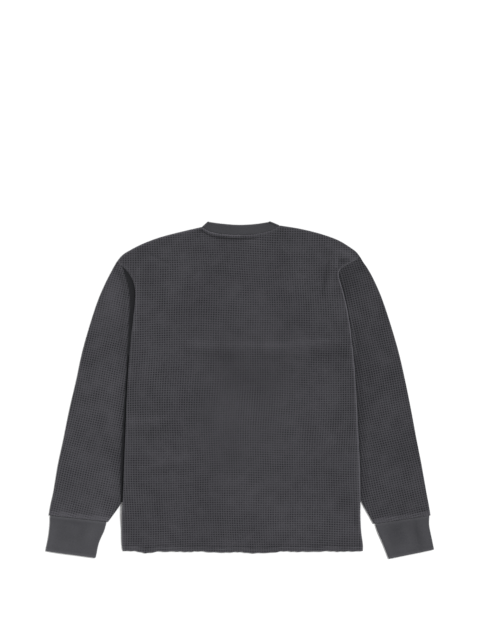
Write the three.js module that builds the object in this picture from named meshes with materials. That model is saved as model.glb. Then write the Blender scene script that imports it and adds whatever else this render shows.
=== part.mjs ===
// A long-sleeved thermal top in waffle knit, laid out flat on its front, with its back up.
// Millimetres, +Z up. +Y points to the neck and +X to the wearer's right. The origin is the
// middle of the top's outline, on the surface that it lies on.
//
// Seven pieces are cut and sewn: back, front, two sleeves, two rib cuffs and the neck rib.
// Back and front lie on each other. Each sleeve is a flattened tube that runs from its armhole
// down beside the body, with its underarm tucked beneath the body's edge, so that the body is
// lifted over it. Every piece is a cloth wall, worked out as an outer and an inner surface.
import * as THREE from 'three';

// Cloth and layers
const cloth = 1.8; // waffle knit, thickness of one layer
const ribCloth = 2.0; // rib of the cuffs and neck, which is doubled
const slack = 0.9; // air between two layers that lie on each other
const layerTop = 2 * cloth + slack; // height of two layers laid flat
const foldRadius = layerTop / 2;
const seamGap = 0.3;
const armholeGap = 0.4; // measured outwards, where the seam slants
const neckGap = 0.35;
const backCorner = 1.4; // from the shoulder's end to the fold of the neck rib
const frontCorner = 0.5;
const turnRadius = foldRadius - seamGap / 2; // of a panel's edge, which stops short of the other
const bodyLift = 5.6; // the body's height above the surface where a sleeve is tucked under it
const liftRamp = 48; // the width over which the body rises to that height
const armholeTilt = (16 * Math.PI) / 180; // how far a panel's edge turns down at a curved seam
const fullTurn = Math.PI / 2; // how far it turns at a side or shoulder seam
const seamOpening = 12; // a side seam opens into the armhole over this length

// The body's two side lines, from the hem to the shoulder tip. Each row is a height on the
// body and how far out the visible edge is on the wearer's left and right.
const sideLines = {
  left: [
    { y: -345, out: 251.5 },
    { y: -333, out: 253.5 },
    { y: -305, out: 254.5 },
    { y: -272, out: 254 },
    { y: -238, out: 252 },
    { y: -174, out: 249.5 },
    { y: -88, out: 246 },
    { y: -2, out: 242.5 },
    { y: 63, out: 238.5 },
    { y: 95, out: 235.5 },
    { y: 149, out: 230 },
    { y: 181, out: 226.5 },
    { y: 213, out: 225.5 },
    { y: 237, out: 231 },
    { y: 256, out: 243.5 },
    { y: 275, out: 264.5 },
  ],
  right: [
    { y: -345, out: 265.5 },
    { y: -333, out: 266 },
    { y: -305, out: 262.5 },
    { y: -272, out: 260.5 },
    { y: -238, out: 260 },
    { y: -174, out: 258 },
    { y: -88, out: 253.5 },
    { y: -2, out: 249 },
    { y: 63, out: 244.5 },
    { y: 95, out: 241 },
    { y: 149, out: 234.5 },
    { y: 187, out: 229 },
    { y: 221, out: 223 },
    { y: 246, out: 223.5 },
    { y: 267, out: 237 },
    { y: 285.5, out: 258.5 },
  ],
};
const armpitY = 76;

// The shoulder lines, from the tip to the neck. x is negative on the wearer's left.
const shoulderLines = {
  left: [
    { x: -264.5, y: 275 },
    { x: -254, y: 288.5 },
    { x: -234.5, y: 301.5 },
    { x: -208.5, y: 314.5 },
    { x: -174, y: 327.5 },
    { x: -127, y: 340 },
    { x: -82, y: 350.5 },
  ],
  right: [
    { x: 86, y: 353.5 },
    { x: 129, y: 346.5 },
    { x: 178.5, y: 334 },
    { x: 213, y: 321 },
    { x: 234.5, y: 308 },
    { x: 251.5, y: 295 },
    { x: 258.5, y: 285.5 },
  ],
};

// The neck. The seam joins the rib to the panels and the rim is the rib's free edge.
const backNeckSeam = [
  { x: -82, y: 350.5 },
  { x: -66, y: 340.5 },
  { x: -42, y: 334.5 },
  { x: -2, y: 331.5 },
  { x: 40, y: 335 },
  { x: 66, y: 342.5 },
  { x: 86, y: 353.5 },
];
const backNeckRim = [
  { x: -69.5, y: 361.5 },
  { x: -40, y: 356.5 },
  { x: -2, y: 353 },
  { x: 36, y: 356 },
  { x: 65.5, y: 361.5 },
];
const frontNeckDrop = 84; // from the shoulder's end down to the front neck seam
const neckRound = 2.6; // how round the front neck hangs: 1 is a V, and more is rounder
const neckRibWidth = 21;
const frontToBack = 1.5; // the front neck's length to the back neck's

// The sleeve's sections, from the armhole seam to the cuff seam. o is the outer fold and i the
// underarm fold, as distances out from the middle and up the body. bow is how far the section
// still follows the armhole's curve and rise how far it still has the body's height. loft is
// the air inside it.
const sleeveSections = {
  left: [
    { ox: 264.5, oy: 275, ix: 238, iy: 75.8, bow: 1, rise: 1, loft: 0 },
    { ox: 267.5, oy: 270, ix: 239.3, iy: 69.5, bow: 0.95, rise: 0.5, loft: 0 },
    { ox: 271, oy: 264, ix: 238.1, iy: 62.5, bow: 0.88, rise: 0.04, loft: 0 },
    { ox: 277, oy: 252.5, ix: 231.5, iy: 43, bow: 0.7, rise: 0, loft: 0.7 },
    { ox: 288, oy: 231, ix: 216, iy: 21, bow: 0.48, rise: 0, loft: 1.4 },
    { ox: 304, oy: 194, ix: 195, iy: -5, bow: 0.24, rise: 0, loft: 2 },
    { ox: 320.5, oy: 144.5, ix: 182, iy: -40, bow: 0.08, rise: 0, loft: 2.4 },
    { ox: 338, oy: 83, ix: 182, iy: -76, bow: 0, rise: 0, loft: 2.6 },
    { ox: 351.5, oy: 20, ix: 194, iy: -112, bow: 0, rise: 0, loft: 2.6 },
    { ox: 366, oy: -42, ix: 210, iy: -146, bow: 0, rise: 0, loft: 2.6 },
    { ox: 378.5, oy: -104, ix: 226, iy: -181, bow: 0, rise: 0, loft: 2.5 },
    { ox: 390.5, oy: -160, ix: 241, iy: -214, bow: 0, rise: 0, loft: 2.4 },
    { ox: 400, oy: -216.5, ix: 255, iy: -243, bow: 0, rise: 0, loft: 2.2 },
    { ox: 406.5, oy: -246, ix: 268.5, iy: -263, bow: 0, rise: 0, loft: 2 },
    { ox: 410.5, oy: -269, ix: 283.5, iy: -283.5, bow: 0, rise: 0, loft: 1.6 },
  ],
  right: [
    { ox: 258.5, oy: 285.5, ix: 243.6, iy: 75.8, bow: 1, rise: 1, loft: 0 },
    { ox: 262, oy: 279.5, ix: 245, iy: 69.5, bow: 0.95, rise: 0.5, loft: 0 },
    { ox: 266.5, oy: 272.5, ix: 243.9, iy: 62.5, bow: 0.88, rise: 0.04, loft: 0 },
    { ox: 275, oy: 260, ix: 237.5, iy: 43, bow: 0.7, rise: 0, loft: 0.7 },
    { ox: 288, oy: 236, ix: 222, iy: 21, bow: 0.48, rise: 0, loft: 1.4 },
    { ox: 304.5, oy: 198, ix: 201, iy: -5, bow: 0.24, rise: 0, loft: 2 },
    { ox: 322.5, oy: 144.5, ix: 188, iy: -40, bow: 0.08, rise: 0, loft: 2.4 },
    { ox: 340.5, oy: 83, ix: 188, iy: -76, bow: 0, rise: 0, loft: 2.6 },
    { ox: 355, oy: 20, ix: 200, iy: -112, bow: 0, rise: 0, loft: 2.6 },
    { ox: 367.5, oy: -42, ix: 216.5, iy: -146, bow: 0, rise: 0, loft: 2.6 },
    { ox: 379, oy: -104, ix: 233.5, iy: -181, bow: 0, rise: 0, loft: 2.5 },
    { ox: 390, oy: -160, ix: 249.5, iy: -214, bow: 0, rise: 0, loft: 2.4 },
    { ox: 400, oy: -216.5, ix: 263, iy: -243, bow: 0, rise: 0, loft: 2.2 },
    { ox: 405.5, oy: -246, ix: 275.5, iy: -266, bow: 0, rise: 0, loft: 2 },
    { ox: 409.5, oy: -269.5, ix: 287.5, iy: -287.5, bow: 0, rise: 0, loft: 1.6 },
  ],
};

// The cuff's sections, from the cuff seam to its open end.
const cuffSections = {
  left: [
    { ox: 408, oy: -269.7, ix: 286.5, iy: -283.6 },
    { ox: 408.5, oy: -290, ix: 292, iy: -303 },
    { ox: 411.5, oy: -315, ix: 302, iy: -327 },
    { ox: 417, oy: -344, ix: 307.5, iy: -358.5 },
  ],
  right: [
    { ox: 407, oy: -270.3, ix: 290.5, iy: -287.5 },
    { ox: 406.5, oy: -290, ix: 296.5, iy: -305.5 },
    { ox: 411.5, oy: -316, ix: 308.5, iy: -333 },
    { ox: 417, oy: -342.5, ix: 320, iy: -362.5 },
  ],
};

// Where the tucked sleeve's underarm fold lies beneath the body, by height on the body.
// Above the armpit the numbers let the lifted edge come down towards the shoulder.
const tuckLines = {
  left: [
    { y: -300, out: 303 },
    { y: -240, out: 253 },
    { y: -198, out: 234 },
    { y: -158, out: 215 },
    { y: -120, out: 198 },
    { y: -85, out: 184 },
    { y: -52, out: 179 },
    { y: -22, out: 186 },
    { y: 8, out: 201 },
    { y: 32, out: 222 },
    { y: 54, out: 234 },
    { y: 76, out: 239 },
    { y: 100, out: 245 },
    { y: 125, out: 258 },
    { y: 150, out: 270 },
    { y: 180, out: 284 },
    { y: 235, out: 305 },
    { y: 280, out: 335 },
  ],
  right: [
    { y: -300, out: 308 },
    { y: -240, out: 261 },
    { y: -198, out: 242 },
    { y: -158, out: 222 },
    { y: -120, out: 204 },
    { y: -85, out: 190 },
    { y: -52, out: 185 },
    { y: -22, out: 192 },
    { y: 8, out: 207 },
    { y: 32, out: 228 },
    { y: 54, out: 240 },
    { y: 76, out: 244 },
    { y: 100, out: 250 },
    { y: 125, out: 263 },
    { y: 150, out: 275 },
    { y: 180, out: 288 },
    { y: 235, out: 307 },
    { y: 290, out: 335 },
  ],
};
const tuckClearance = 11; // the body is at full height this far before it reaches the tucked fold
const besideBody = 3; // a sleeve stays flat this far outside the body's edge
const besideRamp = 34; // and fills out over this width
const cuffLoft = 1.1; // air inside a cuff
const fullness = 0.6; // how soon a tube fills out beside its folds: 1 is a sine's half wave

// Folds in the cloth that faces up: a ridge, or a trough where high is negative, from one end
// to the other, with its half width across.
const bodyFolds = [
  { name: 'packing crease', x0: -112, y0: 97, x1: 20, y1: 95, half: 10, high: 1.6 },
  { name: 'packing crease', x0: 30, y0: 93, x1: 212, y1: 105, half: 10, high: 1.5 },
  { name: 'below the crease', x0: -118, y0: 79, x1: -22, y1: 70, half: 10, high: -0.45 },
  { name: 'below the crease', x0: 50, y0: 66, x1: 222, y1: 72, half: 10, high: -0.4 },
  { name: 'left drag', x0: -236, y0: -70, x1: -165, y1: -62, half: 10, high: 1.6 },
  { name: 'left drag', x0: -234, y0: -92, x1: -160, y1: -84, half: 9, high: -0.45 },
  { name: 'left lower drag', x0: -215, y0: -168, x1: -118, y1: -146, half: 10, high: 1.4 },
  { name: 'left lower drag', x0: -216, y0: -186, x1: -130, y1: -166, half: 9, high: -0.4 },
  { name: 'left shoulder', x0: -238, y0: 262, x1: -168, y1: 284, half: 9, high: 1.2 },
  { name: 'left shoulder', x0: -200, y0: 302, x1: -150, y1: 316, half: 8, high: -0.4 },
  { name: 'left armhole', x0: -221, y0: 256, x1: -227, y1: 130, half: 9, high: 2.4 },
  { name: 'right armhole', x0: 224, y0: 225, x1: 231, y1: 120, half: 8, high: 0.9 },
  { name: 'right shoulder', x0: 200, y0: 262, x1: 236, y1: 276, half: 24, high: 1.5 },
  { name: 'right shoulder', x0: 208, y0: 298, x1: 248, y1: 283, half: 9, high: 1.8 },
  { name: 'right shoulder', x0: 210, y0: 278, x1: 222, y1: 256, half: 8, high: -1.2 },
  { name: 'right blade', x0: 188, y0: 277, x1: 175, y1: 206, half: 8, high: -1.0 },
  { name: 'right blade', x0: 198, y0: 270, x1: 190, y1: 200, half: 9, high: 1.0 },
  { name: 'beside the right edge', x0: 237, y0: 20, x1: 233, y1: -130, half: 8, high: -0.45 },
  { name: 'beside the right edge', x0: 241, y0: -190, x1: 247, y1: -300, half: 7, high: -0.45 },
  { name: 'lower middle', x0: -60, y0: 20, x1: -30, y1: -260, half: 26, high: 1.0 },
  { name: 'lower right', x0: 90, y0: 10, x1: 70, y1: -300, half: 30, high: 1.0 },
  { name: 'lower right', x0: 170, y0: -60, x1: 190, y1: -240, half: 24, high: 0.7 },
  { name: 'upper right', x0: 150, y0: 200, x1: 130, y1: 60, half: 24, high: 0.8 },
  { name: 'upper left', x0: -150, y0: 220, x1: -120, y1: 120, half: 24, high: 1.0 },
  { name: 'upper middle', x0: 40, y0: 230, x1: 60, y1: 130, half: 22, high: 0.6 },
  { name: 'left edge', x0: -190, y0: 40, x1: -180, y1: -30, half: 20, high: 0.7 },
  { name: 'below the neck', x0: -92, y0: 328, x1: 34, y1: 323, half: 5, high: -0.4 },
  { name: 'hem roll', x0: -240, y0: -339, x1: 254, y1: -338, half: 6, high: 0.9 },
];
const sleeveFolds = {
  left: [
    { name: 'elbow', x0: -372, y0: -60, x1: -300, y1: -20, half: 12, high: 0.7 },
    { name: 'forearm', x0: -385, y0: -150, x1: -300, y1: -190, half: 11, high: 0.6 },
    { name: 'above the cuff', x0: -396, y0: -246, x1: -300, y1: -262, half: 7, high: 0.8 },
  ],
  right: [
    { name: 'upper arm', x0: 250, y0: 150, x1: 300, y1: 60, half: 12, high: 0.6 },
    { name: 'elbow', x0: 300, y0: -30, x1: 366, y1: -70, half: 12, high: 0.7 },
    { name: 'above the cuff', x0: 310, y0: -262, x1: 396, y1: -248, half: 7, high: 0.8 },
  ],
};

// The roll of a sleeve beside the body: by height, how high it stands at rollAt outside the
// body's edge.
const rollLines = {
  left: [
    { y: -262, high: 0 },
    { y: -225, high: 1.4 },
    { y: -100, high: 2.2 },
    { y: 0, high: 2.4 },
    { y: 60, high: 3 },
    { y: 110, high: 3.8 },
    { y: 150, high: 4.8 },
    { y: 200, high: 5.6 },
    { y: 240, high: 5 },
    { y: 262, high: 2.4 },
    { y: 276, high: 0 },
  ],
  right: [
    { y: -270, high: 0 },
    { y: -225, high: 0.8 },
    { y: -100, high: 1 },
    { y: 60, high: 1.2 },
    { y: 150, high: 1 },
    { y: 240, high: 0.8 },
    { y: 270, high: 0 },
  ],
};
const rollAt = 15;
const rollHalf = 8; // half its width

// The raw hem's edge, which waves a little.
const hemLine = [
  { x: -252, y: -345 },
  { x: -225, y: -346 },
  { x: -200, y: -349.5 },
  { x: -170, y: -346.5 },
  { x: -120, y: -347 },
  { x: -80, y: -346.5 },
  { x: -37, y: -349 },
  { x: -10, y: -347.5 },
  { x: 20, y: -349.5 },
  { x: 45, y: -350 },
  { x: 65, y: -349 },
  { x: 90, y: -346.5 },
  { x: 140, y: -347 },
  { x: 190, y: -346 },
  { x: 235, y: -346.5 },
  { x: 266, y: -345 },
];

// Ribs, and where the rows and columns of points lie
const ribPitch = 3.8;
const ribHeight = 0.3;
const turnSteps = 2;
const turnShares = [0, 0.5, 1];
const sideColumns = [10, 24, 40, 58, 78, 98, 120]; // plan distances in from a side line
const neckSteps = 10;
const bodyRows = [
  -338, -326, -303, -276, -249, -222, -194, -166, -138, -111, -84, -57, -30, -3, 24, 46, 64, 80,
  97, 116, 134, 152, 170, 188, 205, 221, 236, 250, 262, 270,
]; // heights on the body's left edge
const foldRows = [-180, -152, -97, -70, 88, 106]; // more of them on the back, for its folds
const sleeveSteps = [
  0, 0.6, 1.3, 2, 2.7, 3.4, 4.2, 5, 6, 7, 8, 9, 10, 11, 12, 12.8, 13.5, 14,
];
const insideSteps = 9; // across the plain inside of a cuff
const lowArmhole = 200; // below this height the armhole is nearly straight

const clamp01 = (t) => Math.min(1, Math.max(0, t));
const ease = (t) => clamp01(t) ** 2 * (3 - 2 * clamp01(t));
const mix = (a, b, t) => a + (b - a) * t;

// A smooth curve through a table's rows: the value in column `of` where column `at` is t.
function along(rows, at, of, t) {
  const last = rows.length - 1;
  let i = 0;
  while (i < last - 1 && t > rows[i + 1][at]) i += 1;
  const slope = (a, b) => (rows[b][of] - rows[a][of]) / (rows[b][at] - rows[a][at]);
  const here = slope(i, i + 1);
  const before = i > 0 ? (slope(i - 1, i) + here) / 2 : here;
  const after = i + 2 <= last ? (here + slope(i + 1, i + 2)) / 2 : here;
  const span = rows[i + 1][at] - rows[i][at];
  const k = clamp01((t - rows[i][at]) / span);
  const k2 = k * k;
  const k3 = k2 * k;
  return (
    (2 * k3 - 3 * k2 + 1) * rows[i][of] +
    (k3 - 2 * k2 + k) * span * before +
    (3 * k2 - 2 * k3) * rows[i + 1][of] +
    (k3 - k2) * span * after
  );
}

// A point on a table taken as a curve, with t counting its rows from 0.
function rowPoint(rows, columns, t) {
  const numbered = rows.map((row, n) => ({ ...row, n }));
  return Object.fromEntries(columns.map((c) => [c, along(numbered, 'n', c, t)]));
}

const sideOut = (side, y) => along(sideLines[side], 'y', 'out', y);
const sideX = (side, y) => (side === 'left' ? -1 : 1) * sideOut(side, y);
const tipY = (side) => sideLines[side].at(-1).y;

// How far a tucked sleeve lifts the body at a point.
function lift(x, y) {
  const side = x < 0 ? 'left' : 'right';
  const full = along(tuckLines[side], 'y', 'out', y) - tuckClearance;
  return bodyLift * ease((Math.abs(x) - full + liftRamp) / liftRamp);
}

// The height that a list of folds adds at a point: round across, and fading at both ends.
function foldHeight(folds, x, y) {
  let sum = 0;
  for (const f of folds) {
    const dx = f.x1 - f.x0;
    const dy = f.y1 - f.y0;
    const length = Math.hypot(dx, dy);
    const share = ((x - f.x0) * dx + (y - f.y0) * dy) / length ** 2;
    const off = ((x - f.x0) * dy - (y - f.y0) * dx) / length;
    const past = Math.max(0, -share, share - 1) * length;
    sum += f.high * Math.exp(-(off ** 2 + past ** 2) / f.half ** 2);
  }
  return sum;
}

const hemY = (x) => along(hemLine, 'x', 'y', x);

// The neck's seams and rims between the shoulders' ends: the back's from its tables, the
// front's hanging in a round curve.
const neckEnds = { left: backNeckSeam[0], right: backNeckSeam.at(-1) };
const rimEnds = { left: backNeckRim[0], right: backNeckRim.at(-1) };
const frontRimDrop = frontNeckDrop - neckRibWidth + rimEnds.left.y - neckEnds.left.y;
function frontNeckY(ends, drop, x) {
  const share = clamp01((x - ends.left.x) / (ends.right.x - ends.left.x));
  return mix(ends.left.y, ends.right.y, share) - drop * (1 - Math.abs(2 * share - 1) ** neckRound);
}
const backSeamY = (x) => along(backNeckSeam, 'x', 'y', x);
const backRimY = (x) => along(backNeckRim, 'x', 'y', x);
const frontSeamY = (x) => frontNeckY(neckEnds, frontNeckDrop, x);
const frontRimY = (x) => frontNeckY(rimEnds, frontRimDrop, x);

// Where the panels' columns end at the neck, closer together towards its ends. The panel's
// edge is straight between them, and the rib's seam lies a little way off that edge.
const rounded = (share) => (1 - Math.cos(Math.PI * share)) / 2;
const evenly = (steps) => Array.from({ length: steps + 1 }, (_, n) => n / steps);
const neckStops = evenly(neckSteps).map((share) =>
  mix(neckEnds.left.x, neckEnds.right.x, rounded(share)),
);
function besideSeam(seamY, x) {
  const n = Math.max(1, neckStops.findIndex((stop) => stop >= x));
  const [x0, x1] = [neckStops[n - 1], neckStops[n]];
  const slope = (seamY(x1) - seamY(x0)) / (x1 - x0);
  const off = neckGap / Math.hypot(1, slope);
  return { x: x - off * slope, y: seamY(x0) + slope * (x - x0) + off };
}

// The height on the body of a panel's upper edge: shoulder, neck, shoulder.
function topLine(x, neckY) {
  if (x <= neckEnds.left.x) return along(shoulderLines.left, 'x', 'y', x);
  if (x >= neckEnds.right.x) return along(shoulderLines.right, 'x', 'y', x);
  return neckY(x);
}

// Joins an outer and an inner grid of points into one closed wall. Each grid is a list of
// rows, and in a tube every row is a closed ring. ways says how far round each column lies,
// so that an inside with fewer columns still meets its outside at both ends.
function wall(outer, inner, ways) {
  const ringed = Boolean(ways);
  const layers = [outer, inner];
  const counts = layers.map((grid) => grid[0].length);
  const last = outer.length - 1;
  const positions = layers.flat(3);
  const starts = [0, outer.length * counts[0]];
  const at = (layer, i, j) => starts[layer] + i * counts[layer] + (j % counts[layer]);
  const triangles = [];
  const quad = (a, b, c, d) => triangles.push(a, b, c, a, c, d);
  layers.forEach((grid, layer) => {
    const spans = ringed ? counts[layer] : counts[layer] - 1;
    for (let i = 0; i < last; i += 1) {
      for (let j = 0; j < spans; j += 1) {
        const corners = [at(layer, i, j), at(layer, i, j + 1)];
        const next = [at(layer, i + 1, j + 1), at(layer, i + 1, j)];
        if (layer === 0) quad(...corners, ...next);
        else quad(corners[0], next[1], next[0], corners[1]);
      }
    }
  });
  for (const step of endBand(ways ?? layers.map((grid) => [...grid[0].keys()]), ringed)) {
    const { a, b, onInner } = step;
    for (const row of [0, last]) {
      const third = onInner ? at(1, row, b + 1) : at(0, row, a + 1);
      const corners = [at(0, row, a), at(1, row, b), third];
      triangles.push(...(row === 0 ? corners : corners.reverse()));
    }
  }
  if (!ringed) {
    const e = counts[0] - 1;
    for (let i = 0; i < last; i += 1) {
      quad(at(0, i, 0), at(0, i + 1, 0), at(1, i + 1, 0), at(1, i, 0));
      quad(at(0, i, e), at(1, i, e), at(1, i + 1, e), at(0, i + 1, e));
    }
  }
  const geometry = new THREE.BufferGeometry();
  geometry.setAttribute('position', new THREE.Float32BufferAttribute(positions, 3));
  geometry.setIndex(signedVolume(positions, triangles) > 0 ? triangles : triangles.reverse());
  geometry.computeVertexNormals();
  return geometry;
}

// Walks along the band between an outer and an inner edge, one triangle a step, taking
// whichever edge is behind.
function endBand([outerWays, innerWays], ringed) {
  const steps = [];
  const ends = [outerWays, innerWays].map((w) => (ringed ? w.length : w.length - 1));
  const next = (list, n) => (n + 1 < list.length ? list[n + 1] : wholeWay);
  let a = 0;
  let b = 0;
  while (a < ends[0] || b < ends[1]) {
    const innerDue = a >= ends[0] || next(innerWays, b) <= next(outerWays, a);
    const onInner = b < ends[1] && innerDue;
    steps.push({ a, b, onInner });
    if (onInner) b += 1;
    else a += 1;
  }
  return steps;
}

function signedVolume(positions, triangles) {
  const corner = (n) => new THREE.Vector3().fromArray(positions, 3 * n);
  let sum = 0;
  for (let n = 0; n < triangles.length; n += 3) {
    const [a, b, c] = [0, 1, 2].map((k) => corner(triangles[n + k]));
    sum += a.dot(b.cross(c)) / 6;
  }
  return sum;
}

// How far a panel's edge turns towards the other panel: fully at side and shoulder seams, a
// little at the armholes and the neck.
const sideTurn = (y) => mix(fullTurn, armholeTilt, ease(1 + (y - armpitY) / seamOpening));
const topTurn = (x) => (x > neckEnds.left.x && x < neckEnds.right.x ? armholeTilt : fullTurn);

const hemYAt = (side) => sideLines[side][0].y;
const tipX = (side) => sideX(side, tipY(side));

// One point of a body panel. column and row say where it is, and inset is 0 on the outside of
// the cloth and its thickness on the inside. A point near an edge lies on an arc of the fold,
// and every other point on the panel's face.
function panelPoint(panel, column, row, inset) {
  const arc = (turn, share) => {
    const angle = turn * share;
    return {
      run: turnRadius * Math.sin(turn) - (turnRadius - inset) * Math.sin(angle),
      drop: (turnRadius - inset) * (1 - Math.cos(angle)),
    };
  };
  const leftY = mix(hemYAt('left'), tipY('left'), row.share);
  const rightY = mix(hemYAt('right'), tipY('right'), row.share);
  const sideY = mix(leftY, rightY, column.share);
  const width = sideX('right', rightY) - sideX('left', leftY);
  const side = arc(sideTurn(sideY), column.turn);
  const topX = mix(tipX('left'), tipX('right'), column.share);
  const top = arc(topTurn(topX), row.turn);
  let u = column.share;
  if (column.side === 'left') u = (column.distance + side.run) / width;
  if (column.side === 'right') u = 1 - (column.distance + side.run) / width;
  const v = row.edge ? 1 - top.run / (panel.topY(topX) - hemY(topX)) : row.share;
  const { x, y } = coons(panel, clamp01(u), clamp01(v));
  const turned = Math.max(side.drop, row.edge ? top.drop : 0);
  return [x, y, panel.face(x, y) - panel.up * (inset + turned)];
}

// A point of the panel in plan, spread between its four edges.
function coons(panel, u, v) {
  const sides = { left: {}, right: {} };
  for (const side of ['left', 'right']) {
    const y = mix(hemYAt(side), tipY(side), v);
    sides[side] = { x: sideX(side, y), y };
  }
  const hemEnds = ['left', 'right'].map((side) => ({
    x: sideX(side, hemYAt(side)),
    y: hemYAt(side),
  }));
  const tips = ['left', 'right'].map((side) => ({ x: tipX(side), y: tipY(side) }));
  const hemX = mix(hemEnds[0].x, hemEnds[1].x, u);
  const topX = mix(tips[0].x, tips[1].x, u);
  const hem = { x: hemX, y: hemY(hemX) };
  const top = { x: topX, y: panel.topY(topX) };
  const blend = (c) =>
    mix(sides.left[c], sides.right[c], u) +
    mix(hem[c], top[c], v) -
    mix(mix(hemEnds[0][c], hemEnds[1][c], u), mix(tips[0][c], tips[1][c], u), v);
  return { x: blend('x'), y: blend('y') };
}

const backPanel = {
  up: 1,
  face: (x, y) => lift(x, y) + layerTop + foldHeight(bodyFolds, x, y),
  topY: (x) => topLine(x, backSeamY),
  rows: [...bodyRows, ...foldRows].sort((a, b) => a - b),
};
const frontPanel = {
  up: -1,
  face: (x, y) => lift(x, y),
  topY: (x) => topLine(x, frontSeamY),
  rows: bodyRows,
};

// The columns of a panel's grid, as shares of its width and, near a side line, distances.
function panelColumns() {
  const width = tipX('right') - tipX('left');
  const edge = (side) => {
    const turned = turnShares.map((t) => ({ side, distance: 0, turn: 1 - t }));
    const flat = sideColumns.map((distance) => ({ side, distance, turn: 0 }));
    const share = (c) => (side === 'left' ? c.distance / width : 1 - c.distance / width);
    return [...turned, ...flat].map((c) => ({ ...c, share: share(c) }));
  };
  const neck = neckStops.map((x) => ({ side: 'none', share: (x - tipX('left')) / width, turn: 0 }));
  return [...edge('left'), ...neck, ...edge('right').reverse()];
}

const rowShare = (y) => (y - hemYAt('left')) / (tipY('left') - hemYAt('left'));

function panelGeometry(panel) {
  const plain = panel.rows.map((y) => ({ share: rowShare(y), turn: 0 }));
  const turned = turnShares.map((turn) => ({ share: 1, edge: true, turn }));
  const rows = [{ share: 0, turn: 0 }, ...plain, ...turned];
  const columns = panelColumns();
  const grid = (inset) =>
    rows.map((row) => columns.map((column) => panelPoint(panel, column, row, inset)));
  return wall(grid(0), grid(cloth));
}

// The places round a flattened tube: across its upper layer from the underarm fold to the
// outer one, round the outer fold, back across the lower layer and round the underarm fold.
// angle is 0 on the upper layer and a half turn on the lower one. across counts from the
// outer fold, and way all the way round.
const foldWay = 0.2;
const wholeWay = 2 + 2 * foldWay;
function roundTube(upper, lower) {
  const fold = (end, from, way) =>
    Array.from({ length: turnSteps }, (_, n) => {
      const share = (n + 1) / (turnSteps + 1);
      return { end, angle: Math.abs(from - Math.PI * share), way: way + foldWay * share };
    });
  return [
    ...upper.map((across, n) => ({ across, angle: 0, way: 1 - across, ridge: n % 2 })),
    ...fold('outer', 0, 1),
    ...lower.map((across, n) => {
      const way = 1 + foldWay + across;
      return { across, angle: Math.PI, way, ridge: n % 2 };
    }),
    ...fold('inner', Math.PI, 2 + foldWay),
  ];
}

// A place's share of a section's width, from its outer fold to its underarm fold.
function widthShare(place, length, radius, inset) {
  const turn = (radius - (radius - inset) * Math.sin(place.angle)) / length;
  if (place.end === 'outer') return turn;
  if (place.end === 'inner') return 1 - turn;
  return mix(radius / length, 1 - radius / length, place.across);
}
const sectionLength = (at) => Math.hypot(at.ox - at.ix, at.oy - at.iy);

// The armhole seam in plan, with w counting from the shoulder tip to the armpit.
function armhole(side, w) {
  const y = mix(tipY(side), armpitY, w);
  return { out: sideOut(side, y) + armholeGap, y };
}

// The shares of the first section's width where the panel's rows end at the armhole.
function armholeStops(side, rows) {
  const edge = foldRadius / sectionLength(sleeveSections[side][0]);
  const shares = rows
    .filter((y) => y > armpitY)
    .map((y) => (1 - rowShare(y)) * (tipY(side) - hemYAt(side)))
    .map((down) => (down / (tipY(side) - armpitY) - edge) / (1 - 2 * edge))
    .filter((share) => share > 0 && share < 1);
  return [0, ...shares.sort((a, b) => a - b), 1];
}

// The height that the roll beside the body adds to a sleeve.
function rollHeight(side, out, y) {
  const off = out - sideOut(side, y) - rollAt;
  return along(rollLines[side], 'y', 'high', y) * Math.exp(-((off / rollHalf) ** 2));
}

// One point of a sleeve. s counts its sections from the armhole.
function sleevePoint(side, s, place, inset) {
  const columns = ['ox', 'oy', 'ix', 'iy', 'bow', 'rise', 'loft'];
  const at = rowPoint(sleeveSections[side], columns, s);
  const first = sleeveSections[side][0];
  const w = widthShare(place, sectionLength(at), foldRadius, inset);
  const seam = armhole(side, clamp01(w));
  const out = mix(at.ox, at.ix, w) + at.bow * (seam.out - mix(first.ox, first.ix, w));
  const y = mix(at.oy, at.iy, w) + at.bow * (seam.y - mix(first.oy, first.iy, w));
  const sign = side === 'left' ? -1 : 1;
  const x = sign * out;
  const low = Math.max(0, at.rise) * lift(sign * seam.out, seam.y);
  const clear = ease((out - sideOut(side, y) - besideBody) / besideRamp);
  const puff = at.loft * clear * Math.sin(Math.PI * clamp01(w)) ** fullness;
  const folds = foldHeight(sleeveFolds[side], x, y) * clear * ease(at.loft);
  const roll = rollHeight(side, out, y);
  if (place.angle === 0) return [x, y, low + layerTop + puff + folds + roll - inset];
  if (place.angle === Math.PI) return [x, y, low + inset];
  return [x, y, low + foldRadius + (foldRadius - inset) * Math.cos(place.angle)];
}

function sleeveGeometry(side) {
  const wide = bodyRows.filter((y, n) => y > lowArmhole || n % 2);
  const upper = armholeStops(side, bodyRows).reverse();
  const places = roundTube(upper, armholeStops(side, wide));
  const grid = (inset) =>
    sleeveSteps.map((s) => places.map((place) => sleevePoint(side, s, place, inset)));
  const ways = places.map((place) => place.way);
  return wall(grid(0), grid(cloth), [ways, ways]);
}

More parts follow.
